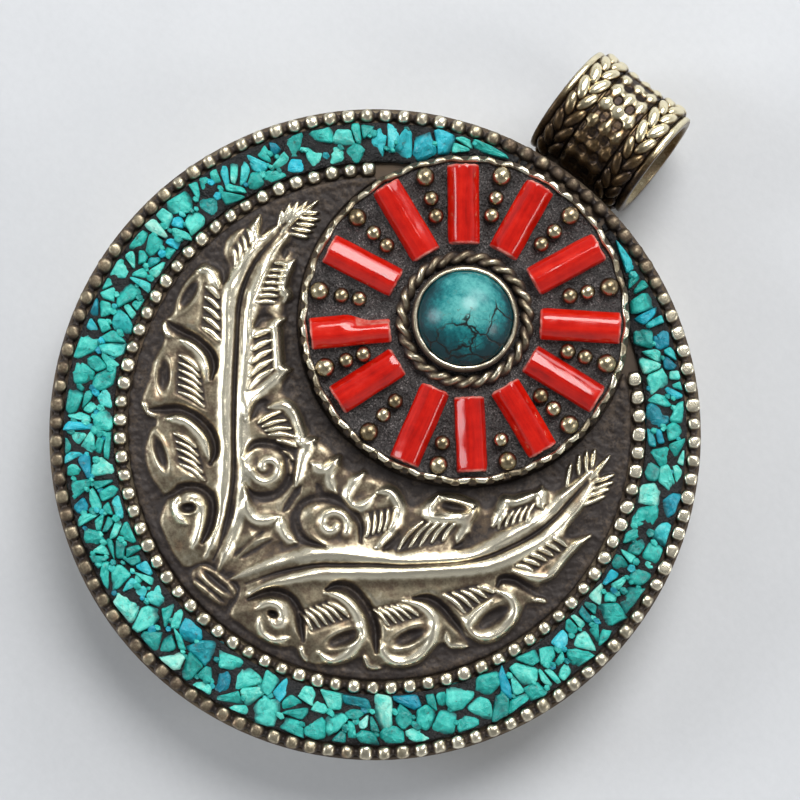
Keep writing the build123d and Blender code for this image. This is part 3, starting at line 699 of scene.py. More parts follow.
# Half width and height of each rolled edge or ridge, and the line that it follows
RIDGES = (
    (0.84, 0.42, -20.4, 10.2, -20.8, 8.0, -20.9, 6.0, -20.7, 4.2, -20.2, 2.5, -19.2, 0.7, -18.0, -0.8,
     -16.6, -2.7, -15.2, -4.7, -13.8, -6.7, -12.2, -8.7, -10.6, -10.5, -9.3, -12.2, -8.1, -14.1,
     -7.2, -15.8, -6.4, -17.4, -5.8, -18.9, -5.5, -20.2),
    (0.84, 0.38, -19.1, 10.0, -19.2, 8.0, -18.8, 6.0, -18.2, 4.0, -17.4, 2.1, -16.5, 0.5, -15.5, -0.9,
     -14.2, -2.6, -13.0, -4.4, -11.8, -6.2, -10.4, -8.0, -8.9, -9.8, -7.6, -11.3, -6.4, -13.1,
     -5.3, -15.2, -4.5, -17.2, -4.0, -19.0, -3.7, -20.4),
    (0.84, 0.38, 19.1, 10.2, 18.6, 7.0, 18.3, 4.4, 17.6, 2.0, 16.6, -0.4, 15.6, -2.5, 14.6, -4.1,
     13.0, -5.7, 11.2, -7.3, 9.0, -8.9, 6.8, -10.3, 4.6, -11.7, 2.8, -13.2, 1.2, -14.9, -0.2, -16.8,
     -1.6, -19.2, -2.2, -20.4),
    (0.84, 0.45, 20.0, 10.4, 20.4, 7.2, 20.3, 4.4, 19.6, 1.6, 18.4, -1.0, 17.0, -3.4, 15.4, -5.1,
     13.4, -6.9, 11.4, -8.7, 9.0, -10.7, 6.4, -12.7, 4.4, -14.4, 2.8, -16.2, 1.4, -18.0, 0.2, -20.2),
    (0.50, 0.45, -22.5, 9.8, -22.1, 8.8, -21.5, 8.0, -21.0, 7.0),
    (0.58, 0.50, -24.0, 1.6, -23.3, 2.3, -22.2, 2.1, -21.2, 1.5),
    (0.65, 0.55, -20.8, -4.8, -19.6, -4.5, -18.2, -4.7, -17.1, -5.4, -16.3, -6.3),
    (0.65, 0.55, -17.0, -11.8, -15.8, -10.9, -14.2, -10.8, -12.6, -11.2, -11.2, -12.3),
    (0.45, 0.50, -11.5, -17.0, -11.2, -18.0, -10.2, -18.7, -9.0, -18.7),
    (0.55, 0.50, -10.0, -16.5, -9.0, -16.5, -8.1, -17.5, -7.5, -18.8, -7.1, -20.2),
    (0.50, 0.45, 23.1, 5.2, 22.5, 3.6, 22.5, 1.2, 22.3, -0.6, 21.0, -1.6, 19.2, -2.3),
    (0.60, 0.50, 19.1, -4.9, 20.6, -4.5, 21.9, -5.3, 22.2, -7.0, 21.6, -8.9, 20.2, -9.7, 19.0, -9.6,
     18.8, -8.0, 19.3, -5.9),
    (0.60, 0.50, 12.6, -11.3, 14.2, -10.6, 15.8, -10.8, 16.9, -12.0, 17.3, -13.5, 17.0, -15.2,
     15.9, -16.5, 14.4, -16.7, 13.1, -15.9),
    (0.60, 0.50, 6.0, -15.5, 7.4, -14.9, 9.2, -15.0, 10.8, -15.9, 11.6, -17.4, 11.5, -19.2, 10.6, -20.5,
     9.1, -20.6),
    (0.50, 0.45, 1.6, -21.0, 2.2, -19.7, 3.4, -19.4, 4.4, -20.2, 4.2, -21.0, 3.4, -21.0),
    (0.40, 0.35, 2.4, -21.6, 3.4, -22.5, 4.9, -22.4, 6.0, -21.2),
    (0.62, 0.54, -17.0, 8.4, -16.9, 6.9, -16.2, 5.5, -15.3, 5.3, -15.2, 4.6),
    (0.68, 0.54, -14.1, 3.2, -14.4, 2.2, -13.6, 1.3, -12.6, 0.2, -11.6, -0.8, -10.5, -0.4),
    (0.64, 0.48, -10.6, -0.6, -11.1, -2.0, -11.4, -3.6, -11.5, -5.3, -10.7, -6.9),
    (0.66, 0.50, -9.8, -4.6, -8.6, -3.4, -7.4, -3.6, -6.2, -4.4, -5.1, -5.2, -4.3, -4.2),
    (0.66, 0.52, -4.2, -4.4, -4.2, -6.0, -3.6, -7.6, -2.9, -9.0),
    (0.62, 0.55, -6.0, -13.0, -5.2, -13.8, -4.2, -14.2, -3.2, -13.7, -2.4, -12.6),
    (0.60, 0.55, -2.1, -12.4, -1.4, -13.2, -0.4, -13.6, 0.6, -13.4),
    (0.62, 0.46, -3.0, -6.3, -1.9, -6.2, -1.4, -5.2, -1.3, -4.1),
    (0.62, 0.46, -1.3, -4.2, -1.0, -6.0, -0.2, -6.8, 0.6, -7.1),
    (0.62, 0.46, 1.6, -3.8, 1.4, -5.4, 1.8, -6.8, 2.8, -7.2, 3.6, -6.4, 3.8, -5.0),
    (0.68, 0.52, 3.9, -4.5, 4.8, -3.7, 6.1, -4.1, 6.9, -5.2, 7.4, -7.0, 7.2, -8.8),
    (0.68, 0.55, 8.7, -1.0, 8.8, -2.4, 9.6, -3.2, 11.0, -2.3, 12.2, -1.1, 12.3, 0.2, 11.0, 0.0, 9.6, -0.6,
     8.8, -1.0),
    (0.62, 0.46, 12.4, 0.2, 12.8, -1.6, 13.2, -3.6),
    (0.62, 0.52, 16.3, 6.0, 17.2, 4.7, 17.6, 4.4),
    (0.64, 0.52, 16.2, 5.2, 15.2, 3.4, 14.2, 2.7, 14.7, 1.6, 14.9, 0.0),
    (0.34, 0.16, -5.4, -21.2, -4.4, -20.8, -3.0, -20.7, -1.6, -20.9, -0.8, -21.4),
    (0.34, 0.16, -5.2, -21.6, -4.2, -22.0, -3.0, -22.1, -1.8, -22.0, -0.9, -21.6),
    (0.30, 0.16, -5.0, -22.8, -3.2, -22.7, -1.4, -22.9),
    (0.30, 0.30, -23.4, -4.3, -22.8, -5.1, -21.8, -5.2),
    (0.30, 0.30, -20.2, -12.0, -19.0, -12.5, -18.2, -12.4),
    (0.30, 0.30, 22.6, -3.3, 23.2, -2.9, 23.8, -2.6),
    (0.30, 0.30, 17.8, -11.2, 18.8, -12.0, 19.8, -11.4, 20.4, -10.9),
    (0.30, 0.30, 12.8, -18.0, 13.9, -18.6, 15.0, -17.9),
    (0.30, 0.30, 7.4, -21.2, 8.0, -21.8, 8.8, -22.0),
)
# Dark line between the two ridges of each stem: half width, depth, line
FURROWS = (
    (0.22, 0.42, -19.9, 10.0, -20.0, 7.0, -19.8, 5.0, -19.3, 3.2, -18.5, 1.5, -17.5, 0.0, -16.2, -1.8,
     -14.8, -3.8, -13.3, -5.8, -12.0, -7.5, -10.6, -9.3, -9.2, -11.0, -7.9, -12.8, -6.8, -14.7,
     -5.9, -16.6, -5.1, -18.4, -4.7, -20.0),
    (0.22, 0.42, 19.6, 10.2, 19.4, 7.0, 19.2, 4.4, 18.6, 1.8, 17.5, -0.7, 16.2, -3.0, 14.4, -5.1,
     12.2, -7.1, 10.1, -8.9, 7.9, -10.5, 5.8, -12.2, 3.8, -13.8, 2.1, -15.6, 0.7, -17.4, -0.8, -19.8),
    (0.22, 0.16, -18.6, 3.0, -17.7, 1.4, -16.6, -0.2, -15.2, -2.0),
    (0.22, 0.16, -8.6, -11.2, -7.2, -13.0, -6.0, -15.4, -5.2, -17.6),
    (0.22, 0.16, 18.8, 5.0, 18.2, 2.2, 17.2, -0.2, 16.2, -2.0),
    (0.22, 0.16, 3.4, -14.6, 1.8, -16.4, 0.2, -18.8),
    (0.25, 0.18, -2.6, -14.6, -3.0, -16.4, -3.4, -18.4),
    (0.25, 0.18, -1.4, -14.6, -2.0, -16.2, -2.8, -18.2),
    (0.30, 0.30, -4.6, -21.3, -3.2, -21.4, -1.6, -21.4),
    (0.22, 0.22, -5.0, -22.4, -3.2, -22.4, -1.2, -22.5),
)
# First ridge, last ridge and number of ridges of each veined leaflet
VEINS = (
    ((-22.7, 8.0), (-21.3, 6.9), (-22.5, 5.6), (-21.2, 4.2), 4),
    ((-22.3, 0.9), (-20.4, 0.7), (-20.0, -2.5), (-17.7, -2.5), 5),
    ((-20.1, -6.1), (-17.5, -6.1), (-17.9, -9.0), (-14.8, -8.6), 6),
    ((-15.6, -12.5), (-12.9, -12.3), (-13.3, -14.5), (-10.2, -14.3), 5),
    ((-18.4, 6.9), (-17.2, 7.6), (-17.3, 2.7), (-15.8, 4.0), 7),
    ((-15.4, -0.2), (-14.5, 1.4), (-12.5, -4.6), (-11.9, -1.4), 5),
    ((-9.7, -6.6), (-8.6, -4.2), (-8.2, -6.8), (-5.8, -5.2), 4),
    ((-7.2, -6.8), (-5.2, -6.0), (-5.2, -7.4), (-4.0, -8.6), 3),
    ((20.3, 2.7), (21.9, 2.9), (19.1, -1.7), (20.8, -1.0), 6),
    ((17.4, -5.7), (19.1, -5.2), (15.2, -8.4), (18.1, -8.5), 5),
    ((12.2, -12.1), (14.7, -11.6), (10.6, -13.9), (13.0, -14.2), 5),
    ((6.7, -16.1), (9.4, -16.0), (5.1, -18.7), (7.3, -19.2), 6),
    ((15.5, 0.0), (15.2, 1.9), (17.2, 2.4), (16.7, 4.3), 5),
    ((9.0, -7.8), (9.2, -3.9), (11.9, -4.4), (11.8, -2.2), 5),
    ((4.4, -6.8), (5.8, -8.7), (6.1, -4.6), (7.1, -6.8), 5),
)
# Middle, direction in degrees, half length and half width of each eye
EYES = (
    (-23.1, -0.7, 100, 1.60, 0.62),
    (-20.0, -8.6, 127, 1.65, 0.62),
    (-15.4, -14.9, 147, 1.75, 0.55),
    (20.5, -7.2, 74, 2.00, 0.80),
    (15.2, -13.8, 62, 1.75, 0.70),
    (10.2, -18.0, 60, 1.75, 0.68),
    (10.7, -1.0, 28, 1.35, 0.50),
    (-9.9, -17.4, 40, 0.75, 0.50),
    (3.2, -20.4, 20, 0.55, 0.35),
)
# Middle, outside radius, start angle and turns of each scroll
SCROLLS = (
    (-6.2, -9.4, 1.75, 200, 1.05),
    (2.3, -9.8, 1.75, -20, 1.05),
)
# Feathery tips: fine ridges that stand on the sheet
FEATHERS = (
    (-20.3, 10.0, -21.1, 11.6), (-20.2, 10.5, -20.9, 12.6), (-20.0, 10.9, -20.4, 13.3),
    (-19.8, 11.2, -19.7, 13.9), (-19.8, 9.6, -19.4, 13.0), (-19.5, 11.6, -18.9, 14.6),
    (-19.3, 12.6, -18.1, 13.7), (-19.3, 12.0, -17.6, 13.2), (-19.2, 11.4, -17.5, 12.5),
    (-19.2, 10.8, -17.4, 11.8), (-19.0, 10.3, -17.3, 11.1), (19.6, 9.4, 19.7, 12.7),
    (19.0, 10.6, 18.1, 12.3), (18.8, 10.0, 17.6, 11.6), (18.5, 9.2, 17.2, 10.9),
    (18.2, 7.6, 17.1, 9.7), (20.1, 9.6, 21.2, 11.5), (20.3, 8.8, 21.6, 10.9),
    (20.4, 8.0, 21.7, 10.1), (20.6, 7.0, 21.8, 9.3),
)
PANEL_STEP = 0.11


def blurred(field, width):
    """Gaussian blur of a field on the panel's grid, width in millimetres."""
    rows = np.fft.fftfreq(field.shape[0], PANEL_STEP)
    columns = np.fft.rfftfreq(field.shape[1], PANEL_STEP)
    damp = np.exp(-2 * (math.pi * width) ** 2 * (rows[:, None] ** 2 + columns[None, :] ** 2))
    return np.fft.irfft2(np.fft.rfft2(field) * damp, s=field.shape)


def lens_stroke(x, y, line, width):
    """A lens-shaped stroke: 1 on its line, 0 at its width, thin at both ends."""
    gap, share = line_distance(x, y, line)
    taper = np.sqrt(np.clip(4 * share * (1 - share), 0.02, 1))
    return np.clip(1 - (gap / (width * taper)) ** 2, 0, 1)


def soft_stroke(x, y, line, width):
    """A rounded stroke of even width that thins out close to its ends."""
    gap, share = line_distance(x, y, line)
    taper = np.clip(6 * share * (1 - share), 0.12, 1) ** 0.5
    return np.exp(-((gap / (0.90 * width * taper)) ** 2)) * taper**0.5


class Drawing:
    """Height, polish and dirt of the embossed drawing on a grid, worked in form by form."""

    def __init__(self, x, y):
        self.x, self.y = x, y
        self.height = np.zeros(x.shape)
        self.polish = np.zeros(x.shape)
        self.dirt = np.zeros(x.shape)

    def block(self, points, margin):
        """Index of the grid block round some points, and its places."""
        p = np.asarray(points).reshape(-1, 2)
        low, high = p.min(0) - margin, p.max(0) + margin
        rows = np.nonzero((self.y[:, 0] > low[1]) & (self.y[:, 0] < high[1]))[0]
        columns = np.nonzero((self.x[0] > low[0]) & (self.x[0] < high[0]))[0]
        block = slice(rows[0], rows[-1] + 1), slice(columns[0], columns[-1] + 1)
        return block, self.x[block], self.y[block]

    def lift(self, block, level):
        self.height[block] = np.maximum(self.height[block], level)

    def shine(self, block, share):
        self.polish[block] = np.maximum(self.polish[block], share)

    def soil(self, block, share):
        self.dirt[block] = np.maximum(self.dirt[block], share)

    def within(self, outline, margin):
        """Grid block round a closed outline, and the distance inside it."""
        outline = smooth_line(outline, closed=True, steps=4)
        block, x, y = self.block(outline, margin)
        return block, inside_distance(x, y, outline)

    def beside(self, line, width, margin):
        """Grid block round a line, and the soft stroke along it."""
        line = smooth_line(line)
        block, x, y = self.block(line, margin)
        return block, soft_stroke(x, y, line, width)

    def flesh(self, *outline):
        block, d = self.within(outline, 0.8)
        self.lift(block, 0.42 * ramp(d, -0.12, 0.65) + 0.46 * ramp(d, 0.2, 2.4))

    def swelling(self, *outline):
        block, d = self.within(outline, 1.0)
        self.lift(block, 0.46 * ramp(d, -0.7, 0.9))

    def hollow(self, width, depth, *line):
        block, cut = self.beside(line, width, 1.6)
        self.height[block] *= 1 - depth * cut
        self.soil(block, depth * cut)

    def ridge(self, width, rise, *line):
        block, bar = self.beside(line, width, 1.6)
        self.height[block] += rise * bar
        self.shine(block, ramp(bar, 0.18, 0.85) * min(1, 2.2 * rise))

    def furrow(self, width, depth, *line):
        block, cut = self.beside(line, width, 1.2)
        self.height[block] -= depth * cut
        self.soil(block, min(1, 2.2 * depth) * cut)

    def leaflet(self, start, start_end, last, last_end, count):
        """Bowed ridges in a row, on a ground that is pressed down."""
        span = np.array((start, start_end, last_end, last))
        way = span[1] - span[0] + span[2] - span[3]
        way = way / np.hypot(*way)
        down = (span[3] - span[0] + span[2] - span[1]) / 2
        pitch = abs(down[0] * way[1] - down[1] * way[0]) / (count - 1)
        block, x, y = self.block(span, 1.0)
        d = inside_distance(x, y, span)
        self.soil(block, 0.75 * ramp(d, -0.3, 0.2))
        bars = np.zeros(d.shape)
        for n in range(count):
            share = n / (count - 1)
            a = span[0] + share * (span[3] - span[0])
            b = span[1] + share * (span[2] - span[1])
            out = np.array((a[1] - b[1], b[0] - a[0])) * 0.07
            line = smooth_line((a, (a + b) / 2 + out, b))
            bars = np.maximum(bars, lens_stroke(x, y, line, 0.46 * pitch))
        self.height[block] += 0.42 * bars - 0.22 * ramp(d, -0.45, 0.15)
        self.shine(block, ramp(bars, 0.2, 0.8))

    def eye(self, middle_x, middle_y, turn, long, wide):
        """A sunk oval with a raised lip."""
        block, x, y = self.block((middle_x, middle_y), long + 1.2)
        dx, dy = x - middle_x, y - middle_y
        c, s = math.cos(math.radians(turn)), math.sin(math.radians(turn))
        r = np.hypot((dx * c + dy * s) / long, (dy * c - dx * s) / wide)
        self.height[block] += 0.10 * np.exp(-(((r - 1.35) / 0.25) ** 2))
        self.height[block] *= 1 - 0.72 * ramp(r, 1.2, 0.3)
        self.soil(block, 0.8 * ramp(r, 1.15, 0.5))

    def scroll(self, middle_x, middle_y, radius, start, turns):
        """A coiled ridge, on a ground that is pressed down."""
        t = np.linspace(0, 1, 60)
        turn = math.radians(start) + 2 * math.pi * turns * t
        reach = radius * (1 - 0.72 * t)
        line = np.stack((middle_x + reach * np.cos(turn), middle_y + reach * np.sin(turn)), -1)
        block, x, y = self.block(line, 1.2)
        gap, share = line_distance(x, y, line)
        bar = np.exp(-((gap / 0.44) ** 2)) * ramp(share, 0.0, 0.12)
        away = np.hypot(x - middle_x, y - middle_y)
        self.height[block] += 0.48 * bar - 0.12 * ramp(away, radius + 0.8, radius - 0.1)
        self.shine(block, 0.8 * ramp(bar, 0.2, 0.9))

    def feather(self, *line):
        line = np.reshape(line, (2, 2))
        block, x, y = self.block(line, 0.6)
        bar = lens_stroke(x, y, line, 0.30) ** 0.7
        self.lift(block, 0.55 * bar)
        self.shine(block, 0.9 * bar)


def panel_border(x, y):
    """Distance from the rim of the panel, positive inside."""
    return PANEL_RADIUS - np.hypot(x, y - PANEL_SHIFT)


def leaf_relief(x, y):
    """Height of the embossed drawing above its sheet, its polish and its dirt, on the whole grid."""
    drawing = Drawing(x, y)
    stages = (
        (drawing.flesh, FLESH),
        (drawing.swelling, (SWELLING,)),
        (drawing.hollow, HOLLOWS),
        (drawing.ridge, RIDGES),
        (drawing.furrow, FURROWS),
        (drawing.leaflet, VEINS),
        (drawing.eye, EYES),
        (drawing.scroll, SCROLLS),
        (drawing.feather, FEATHERS),
    )
    for work, forms in stages:
        for form in forms:
            work(*form)
    rolled_rim = 0.07 * np.exp(-(((panel_border(x, y) - 0.45) / 0.42) ** 2))
    height = np.maximum(np.maximum(drawing.height, 0), rolled_rim)
    return blurred(height, 0.055), blurred(drawing.polish, 0.06), blurred(drawing.dirt, 0.07)


relief_on_grid = leaf_relief(*grid_round(PANEL_RADIUS, PANEL_SHIFT, PANEL_STEP))


def panel_height(x, y):
    relief, polish, dirt = relief_on_grid
    ground = ramp(relief, 0.25, 0.05)
    stipple = noise(x, y, 0.5, 3) + 0.6 * noise(x, y, 0.24, 5)
    uneven = 0.09 * noise(x, y, 2.6, 7) + 0.10 * ground * stipple + 0.04 * noise(x, y, 0.8, 9)
    crest = relief - blurred(relief, 0.34)
    broad = relief - blurred(relief, 1.2)
    flesh = ramp(relief, 0.08, 0.42)
    stain = 0.14 * noise(x, y, 3.4, 13) + 0.16 * noise(x, y, 1.3, 14)
    speckle = 0.22 * noise(x, y, 0.45, 15)
    round_knot = ramp(np.hypot(x + 3.2, y + 21.9), 3.2, 1.6)
    wear = 0.03 + 0.37 * flesh + 0.54 * polish + 1.2 * crest + 0.25 * broad
    wear = wear + (0.35 + 0.65 * flesh) * (stain + speckle)
    wear = wear - 0.28 * ramp(-broad, 0.06, 0.30)
    wear = wear - 0.30 * round_knot
    wear = np.clip(wear - 0.42 * dirt * (1 - polish), 0.0, 1.0)
    return SHEET_TOP + relief + uneven, {"wear": wear}


def panel_inside(x, y):
    return np.minimum(panel_border(x, y), np.hypot(x, y - BOSS_Y) - BOSS_CLEAR)


panel = field_shape(panel_inside, PANEL_RADIUS, PANEL_SHIFT, PANEL_STEP, panel_height, PLATE_TOP)
make_piece("leaf_relief", panel, worn_metal, ("leaf_panel",))

# Beaded wires: bead and reel, lying on the front plate
BEAD_STEPS = 16
WIRE_SIDES = 16
WIRE_RISE = 1.34
BEAD_HALF = 0.665
BEAD_LONG = 0.84
BEAD_ROUND = 2.2
BEAD_SQUARE = 0.8
REEL_HALF = 0.30
# Rise of a bead that is rubbed level, and the height over which the rubbing rounds off
RUBBED_RISE = 1.28
RUBBED_SOFT = 0.16
# Where the beads are rubbed flat, where they are painted dark as shade beside the bail, and where the outer
# ones are painted brown as shade on the side away from the light, in degrees
FLAT_AT = 38
BAIL_SHADE_AT = 86
SHADED_SIDE_AT = 230


def bead_runs(kept):
    """Neighbours among the kept beads, gathered into runs that may go on past the first bead."""
    count = len(kept)
    runs = []
    for bead in range(count):
        if not kept[bead]:
            continue
        if runs and runs[-1][-1] == bead - 1:
            runs[-1].append(bead)
        else:
            runs.append([bead])
    if len(runs) > 1 and runs[0][0] == 0 and runs[-1][-1] == count - 1:
        runs[0] = runs.pop() + [bead + count for bead in runs[0]]
    return runs


def toward(angle, at, low, high):
    """1 where an angle lies toward a direction in degrees, 0 away from it."""
    return ramp(np.cos(angle - math.radians(at)), low, high)


def squared(values):
    """A sine or cosine pushed outward, for a section that is fuller than round."""
    return np.sign(values) * np.abs(values) ** BEAD_SQUARE


def add_wire(shape, run, radius, centre_y, count, seed):
    """A swept bead-and-reel wire through a run of the beads of a full round of count beads."""
    closed = len(run) == count
    stations = np.concatenate([bead + (np.arange(BEAD_STEPS) / BEAD_STEPS - 0.5) for bead in run])
    if not closed:
        stations = stations[2:]
    angle = 2 * math.pi * stations / count
    bead = np.round(stations).astype(int)
    pitch = 2 * math.pi * radius / count
    along = (stations - bead) * pitch
    size = 1 + 0.12 * wobble(bead, 3.7, seed, seed)
    belly = np.clip(1 - (np.abs(along) / (BEAD_LONG * size)) ** BEAD_ROUND, 0, 1) ** (1 / BEAD_ROUND)
    half = np.maximum(BEAD_HALF * size * belly, REEL_HALF)
    flat = toward(angle, FLAT_AT, 0.80, 0.95)
    # dark is painted shade on the beads beside the bail; brown is painted shade on the outer beads on the
    # side away from the light, where the beads are also rubbed lower
    dark = toward(angle, BAIL_SHADE_AT, 0.86, 0.97)
    brown = toward(angle, SHADED_SIDE_AT, 0.0, 0.8) if closed else 0 * angle
    turns = circle(WIRE_SIDES)
    c, s = np.cos(turns)[None, :], np.sin(turns)[None, :]
    lumps = 1 + 0.30 * noise(stations[:, None] * 3.1 + c, s * 1.4 + bead[:, None], 0.8, seed + 9)
    across = half[:, None] * squared(c) * lumps
    rise = np.maximum(half[:, None] * (0.95 + squared(s) * lumps), 0.0)
    lean = 0.30 * wobble(bead, 1.9, seed + 5, seed)[:, None]
    soft_from = (RUBBED_RISE - 0.20 * flat - 0.14 * brown)[:, None] + lean * across - RUBBED_SOFT
    rubbed = soft_from + RUBBED_SOFT * np.tanh((rise - soft_from) / RUBBED_SOFT)
    rise = np.where(rise > soft_from, rubbed, rise)
    reach = radius + np.clip(across, -WIRE_HALF, WIRE_HALF)
    points = about(angle, reach, PLATE_TOP + np.minimum(rise, WIRE_RISE), centre_y)
    polish = 0.70 + 0.35 * np.mod(bead * 0.618, 1.0)
    wear = 0.07 + 0.95 * ramp(rise, 0.55, 1.10) * (ramp(half, 0.42, 0.60) * polish)[:, None]
    # The polish is cut by the painted shade beside the bail and on the side away from the light
    wear = wear * ((0.86 if closed else 1.0) - 0.55 * dark - 0.44 * brown)[:, None]
    wear = wear + 0.15 * (flat[:, None] * ramp(rise, 0.7, 1.0))
    shape.add(points, tube_faces(len(stations), WIRE_SIDES, closed), wear=wear.ravel())


def wire_shape(radius, centre_y, seed):
    """A ring of beads, left out where the boss stands."""
    count = round(2 * math.pi * radius / BEAD_PITCH)
    kept = []
    for number in range(count):
        turn = 2 * math.pi * number / count
        at = (radius * math.cos(turn), centre_y + radius * math.sin(turn))
        kept.append(math.hypot(at[0], at[1] - BOSS_Y) > BOSS_CLEAR + WIRE_HALF)
    shape = Shape()
    for run in bead_runs(kept):
        add_wire(shape, run, radius, centre_y, count, seed)
    return shape


outer_beads = wire_shape(OUTER_WIRE, 0.0, 1)
make_piece("outer_beads", outer_beads, worn_metal, ("outer_bead_wire",))
inner_beads = wire_shape(INNER_WIRE, PANEL_SHIFT, 2)
make_piece("inner_beads", inner_beads, worn_metal, ("inner_bead_wire",))

# Mosaic: gritty resin, a broken chip for each solid chip of the frame, and crumbs between them
MOSAIC_STEP = 0.22
MOSAIC_GAP = 0.05
CHIP_DEPTH = 1.0
CRUMB_TRIES = 1500
CRUMB_INNER = 26.9
CRUMB_SPAN = 3.7
CRUMB_CORNERS = 5
CRUMB_NEIGHBOURS = 6
# How far each ring of a broken lump is drawn in, and its drop from the top, as shares
LUMP_RINGS = ((0.02, 1.0), (0.0, 0.55), (0.03, 0.24), (0.11, 0.08), (0.24, 0.01), (0.45, 0.0), (0.72, 0.0))


def mosaic_inside(x, y):
    rim = MOSAIC_OUTER - MOSAIC_GAP - np.hypot(x, y)
    hole = np.hypot(x, y - PANEL_SHIFT) - MOSAIC_INNER - MOSAIC_GAP
    boss = np.hypot(x, y - BOSS_Y) - BOSS_RADIUS - MOSAIC_GAP
    return np.minimum(np.minimum(rim, hole), boss)


def mosaic_height(x, y):
    lumps = 0.34 * noise(x, y, 1.1, 11) + 0.22 * noise(x, y, 0.5, 12)
    return RESIN_TOP + 0.16 + lumps, {}


resin = field_shape(mosaic_inside, MOSAIC_OUTER, 0.0, MOSAIC_STEP, mosaic_height, PLATE_TOP)
make_piece("mosaic_resin", resin, mosaic_resin, ("mosaic_bed",))


def chip_solids():
    """Points of each chip solid of the frame, in millimetres."""
    mesh = nodes["turquoise_chips"].data
    points = np.empty(len(mesh.vertices) * 3)
    mesh.vertices.foreach_get("co", points)
    points = points.reshape(-1, 3) / MM
    places = {}
    name = [places.setdefault(tuple(np.round(p, 3)), len(places)) for p in points]
    parent = list(range(len(places)))

    def root(i):
        while parent[i] != i:
            i = parent[i]
        return i

    for polygon in mesh.polygons:
        first, *others = [name[i] for i in polygon.vertices]
        for other in others:
            parent[root(other)] = root(first)
    solids = {}
    for i, place in enumerate(places):
        solids.setdefault(root(i), []).append(place)
    return [np.array(solid) for solid in solids.values()]


def chip_outlines():
    """The outline, in order, and top level of every chip solid, sorted by place."""
    found = []
    for solid in chip_solids():
        top = solid[:, 2].max()
        rim = solid[solid[:, 2] > top - 0.05][:, :2]
        middle = rim.mean(0)
        order = np.argsort(np.arctan2(rim[:, 1] - middle[1], rim[:, 0] - middle[0]))
        found.append((rim[order], top))
    found.sort(key=lambda chip: [round(float(chip[0][:, axis].mean()), 2) for axis in (0, 1)])
    return found


def rounded(outline, times):
    """Corners cut off a closed outline, again and again."""
    for _ in range(times):
        after = np.roll(outline, -1, 0)
        outline = np.stack((0.86 * outline + 0.14 * after, 0.14 * outline + 0.86 * after), 1).reshape(-1, 2)
    return outline


def lump(shape, outline, low, top, number, tilt_most, **values):
    """A broken lump of stone: a ragged rounded outline with shoulders, facets and a tilted top."""
    middle = outline.mean(0)
    edge = rounded(outline, 2)
    ragged = 1.14 + 0.34 * noise(edge[:, 0] * 1.7, edge[:, 1] * 1.7 + number, 1.0, 23)
    edge = middle + (edge - middle) * ragged[:, None]
    tilt = np.array((draw(number, 1) - 0.5, draw(number, 2) - 0.5)) * tilt_most
    crease = 2 * math.pi * draw(number, 7)
    fold = np.array((math.cos(crease), math.sin(crease)))
    rings = []
    for shrink, drop in LUMP_RINGS:
        ring = middle + (edge - middle) * (1 - shrink)
        x, y = ring.T
        facet = np.minimum(0, 0.22 - np.abs((ring - middle) @ fold - 0.3) * 0.6)
        rough = 0.22 * noise(x * 1.3, y * 1.3, 0.6, 21) + 0.12 * noise(x, y, 0.26, 22)
        level = low + (top - low) * (1 - drop) + (1 - drop) * ((ring - middle) @ tilt + facet + rough)
        rings.append(np.column_stack((ring, level)))
    points = np.vstack([((*middle, low),)] + rings + [((*middle, rings[-1][:, 2].mean()),)])
    # side: painted shade, darker down the lump's sides below its top
    side = ramp(top - points[:, 2], 0.1, 0.55)
    shape.add(points, pole_faces(len(rings), len(edge)), side=side, **values)


def add_chip(shape, number, rim, top):
    """The broken chip of one solid, swung and scaled a little."""
    middle = rim.mean(0)
    swing = 0.30 * (draw(number, 8) - 0.5)
    c, s = math.cos(swing), math.sin(swing)
    away = (rim - middle) @ np.array(((c, s), (-s, c))) * (1.08 - 0.12 * draw(number, 9))
    tone = 0.16 + 0.58 * draw(number, 4) + (0.22 if draw(number, 5) > 0.88 else 0.0)
    top_level = top + 0.30 * (draw(number, 3) - 0.45)
    lump(shape, middle + away, top - CHIP_DEPTH, top_level, number, 0.46, tone=tone, blue=draw(number, 6))


def add_crumb(shape, n, rims, middles):
    """The nth crumb, if its place lies in a gap between the chips."""
    turn = 2 * math.pi * draw(n, 31)
    reach = CRUMB_INNER + CRUMB_SPAN * draw(n, 32)
    at = np.array((reach * math.cos(turn), reach * math.sin(turn)))
    size = 0.26 + 0.22 * draw(n, 33)
    if mosaic_inside(at[0], at[1]) < size + 0.15:
        return
    nearest = np.argsort(np.hypot(*(middles - at).T))[:CRUMB_NEIGHBOURS]
    if max(float(inside_distance(at[:1], at[1:], rims[i])[0]) for i in nearest) > -0.25 * size:
        return
    corners = 2 * math.pi * (np.arange(CRUMB_CORNERS) + 0.5 * draw(n, 34)) / CRUMB_CORNERS
    flat = 0.6 + 0.4 * draw(n, 35)
    outline = at + size * np.column_stack((np.cos(corners), flat * np.sin(corners)))
    top = RESIN_TOP + 0.42 + 0.3 * draw(n, 36)
    lump(shape, outline, RESIN_TOP, top, n, 0.3, tone=0.1 + 0.6 * draw(n, 37), blue=draw(n, 38))


chips = Shape()
chip_list = chip_outlines()
for number, (rim, top) in enumerate(chip_list):
    add_chip(chips, number, rim, top)
chip_rims = [rim for rim, _ in chip_list]
chip_middles = np.array([rim.mean(0) for rim in chip_rims])
for n in range(CRUMB_TRIES):
    add_crumb(chips, n, chip_rims, chip_middles)
make_piece("turquoise_mosaic", chips, chip_stone, ("turquoise_chips",), smooth=False)


# Boss: gallery strip with a wavy top edge, and its gritty bed
def profile_rows(profile, rows):
    """Both coordinates of a profile's points, repeated in each row."""
    return [np.array(values)[None, :] + np.zeros((rows, 1)) for values in zip(*profile)]


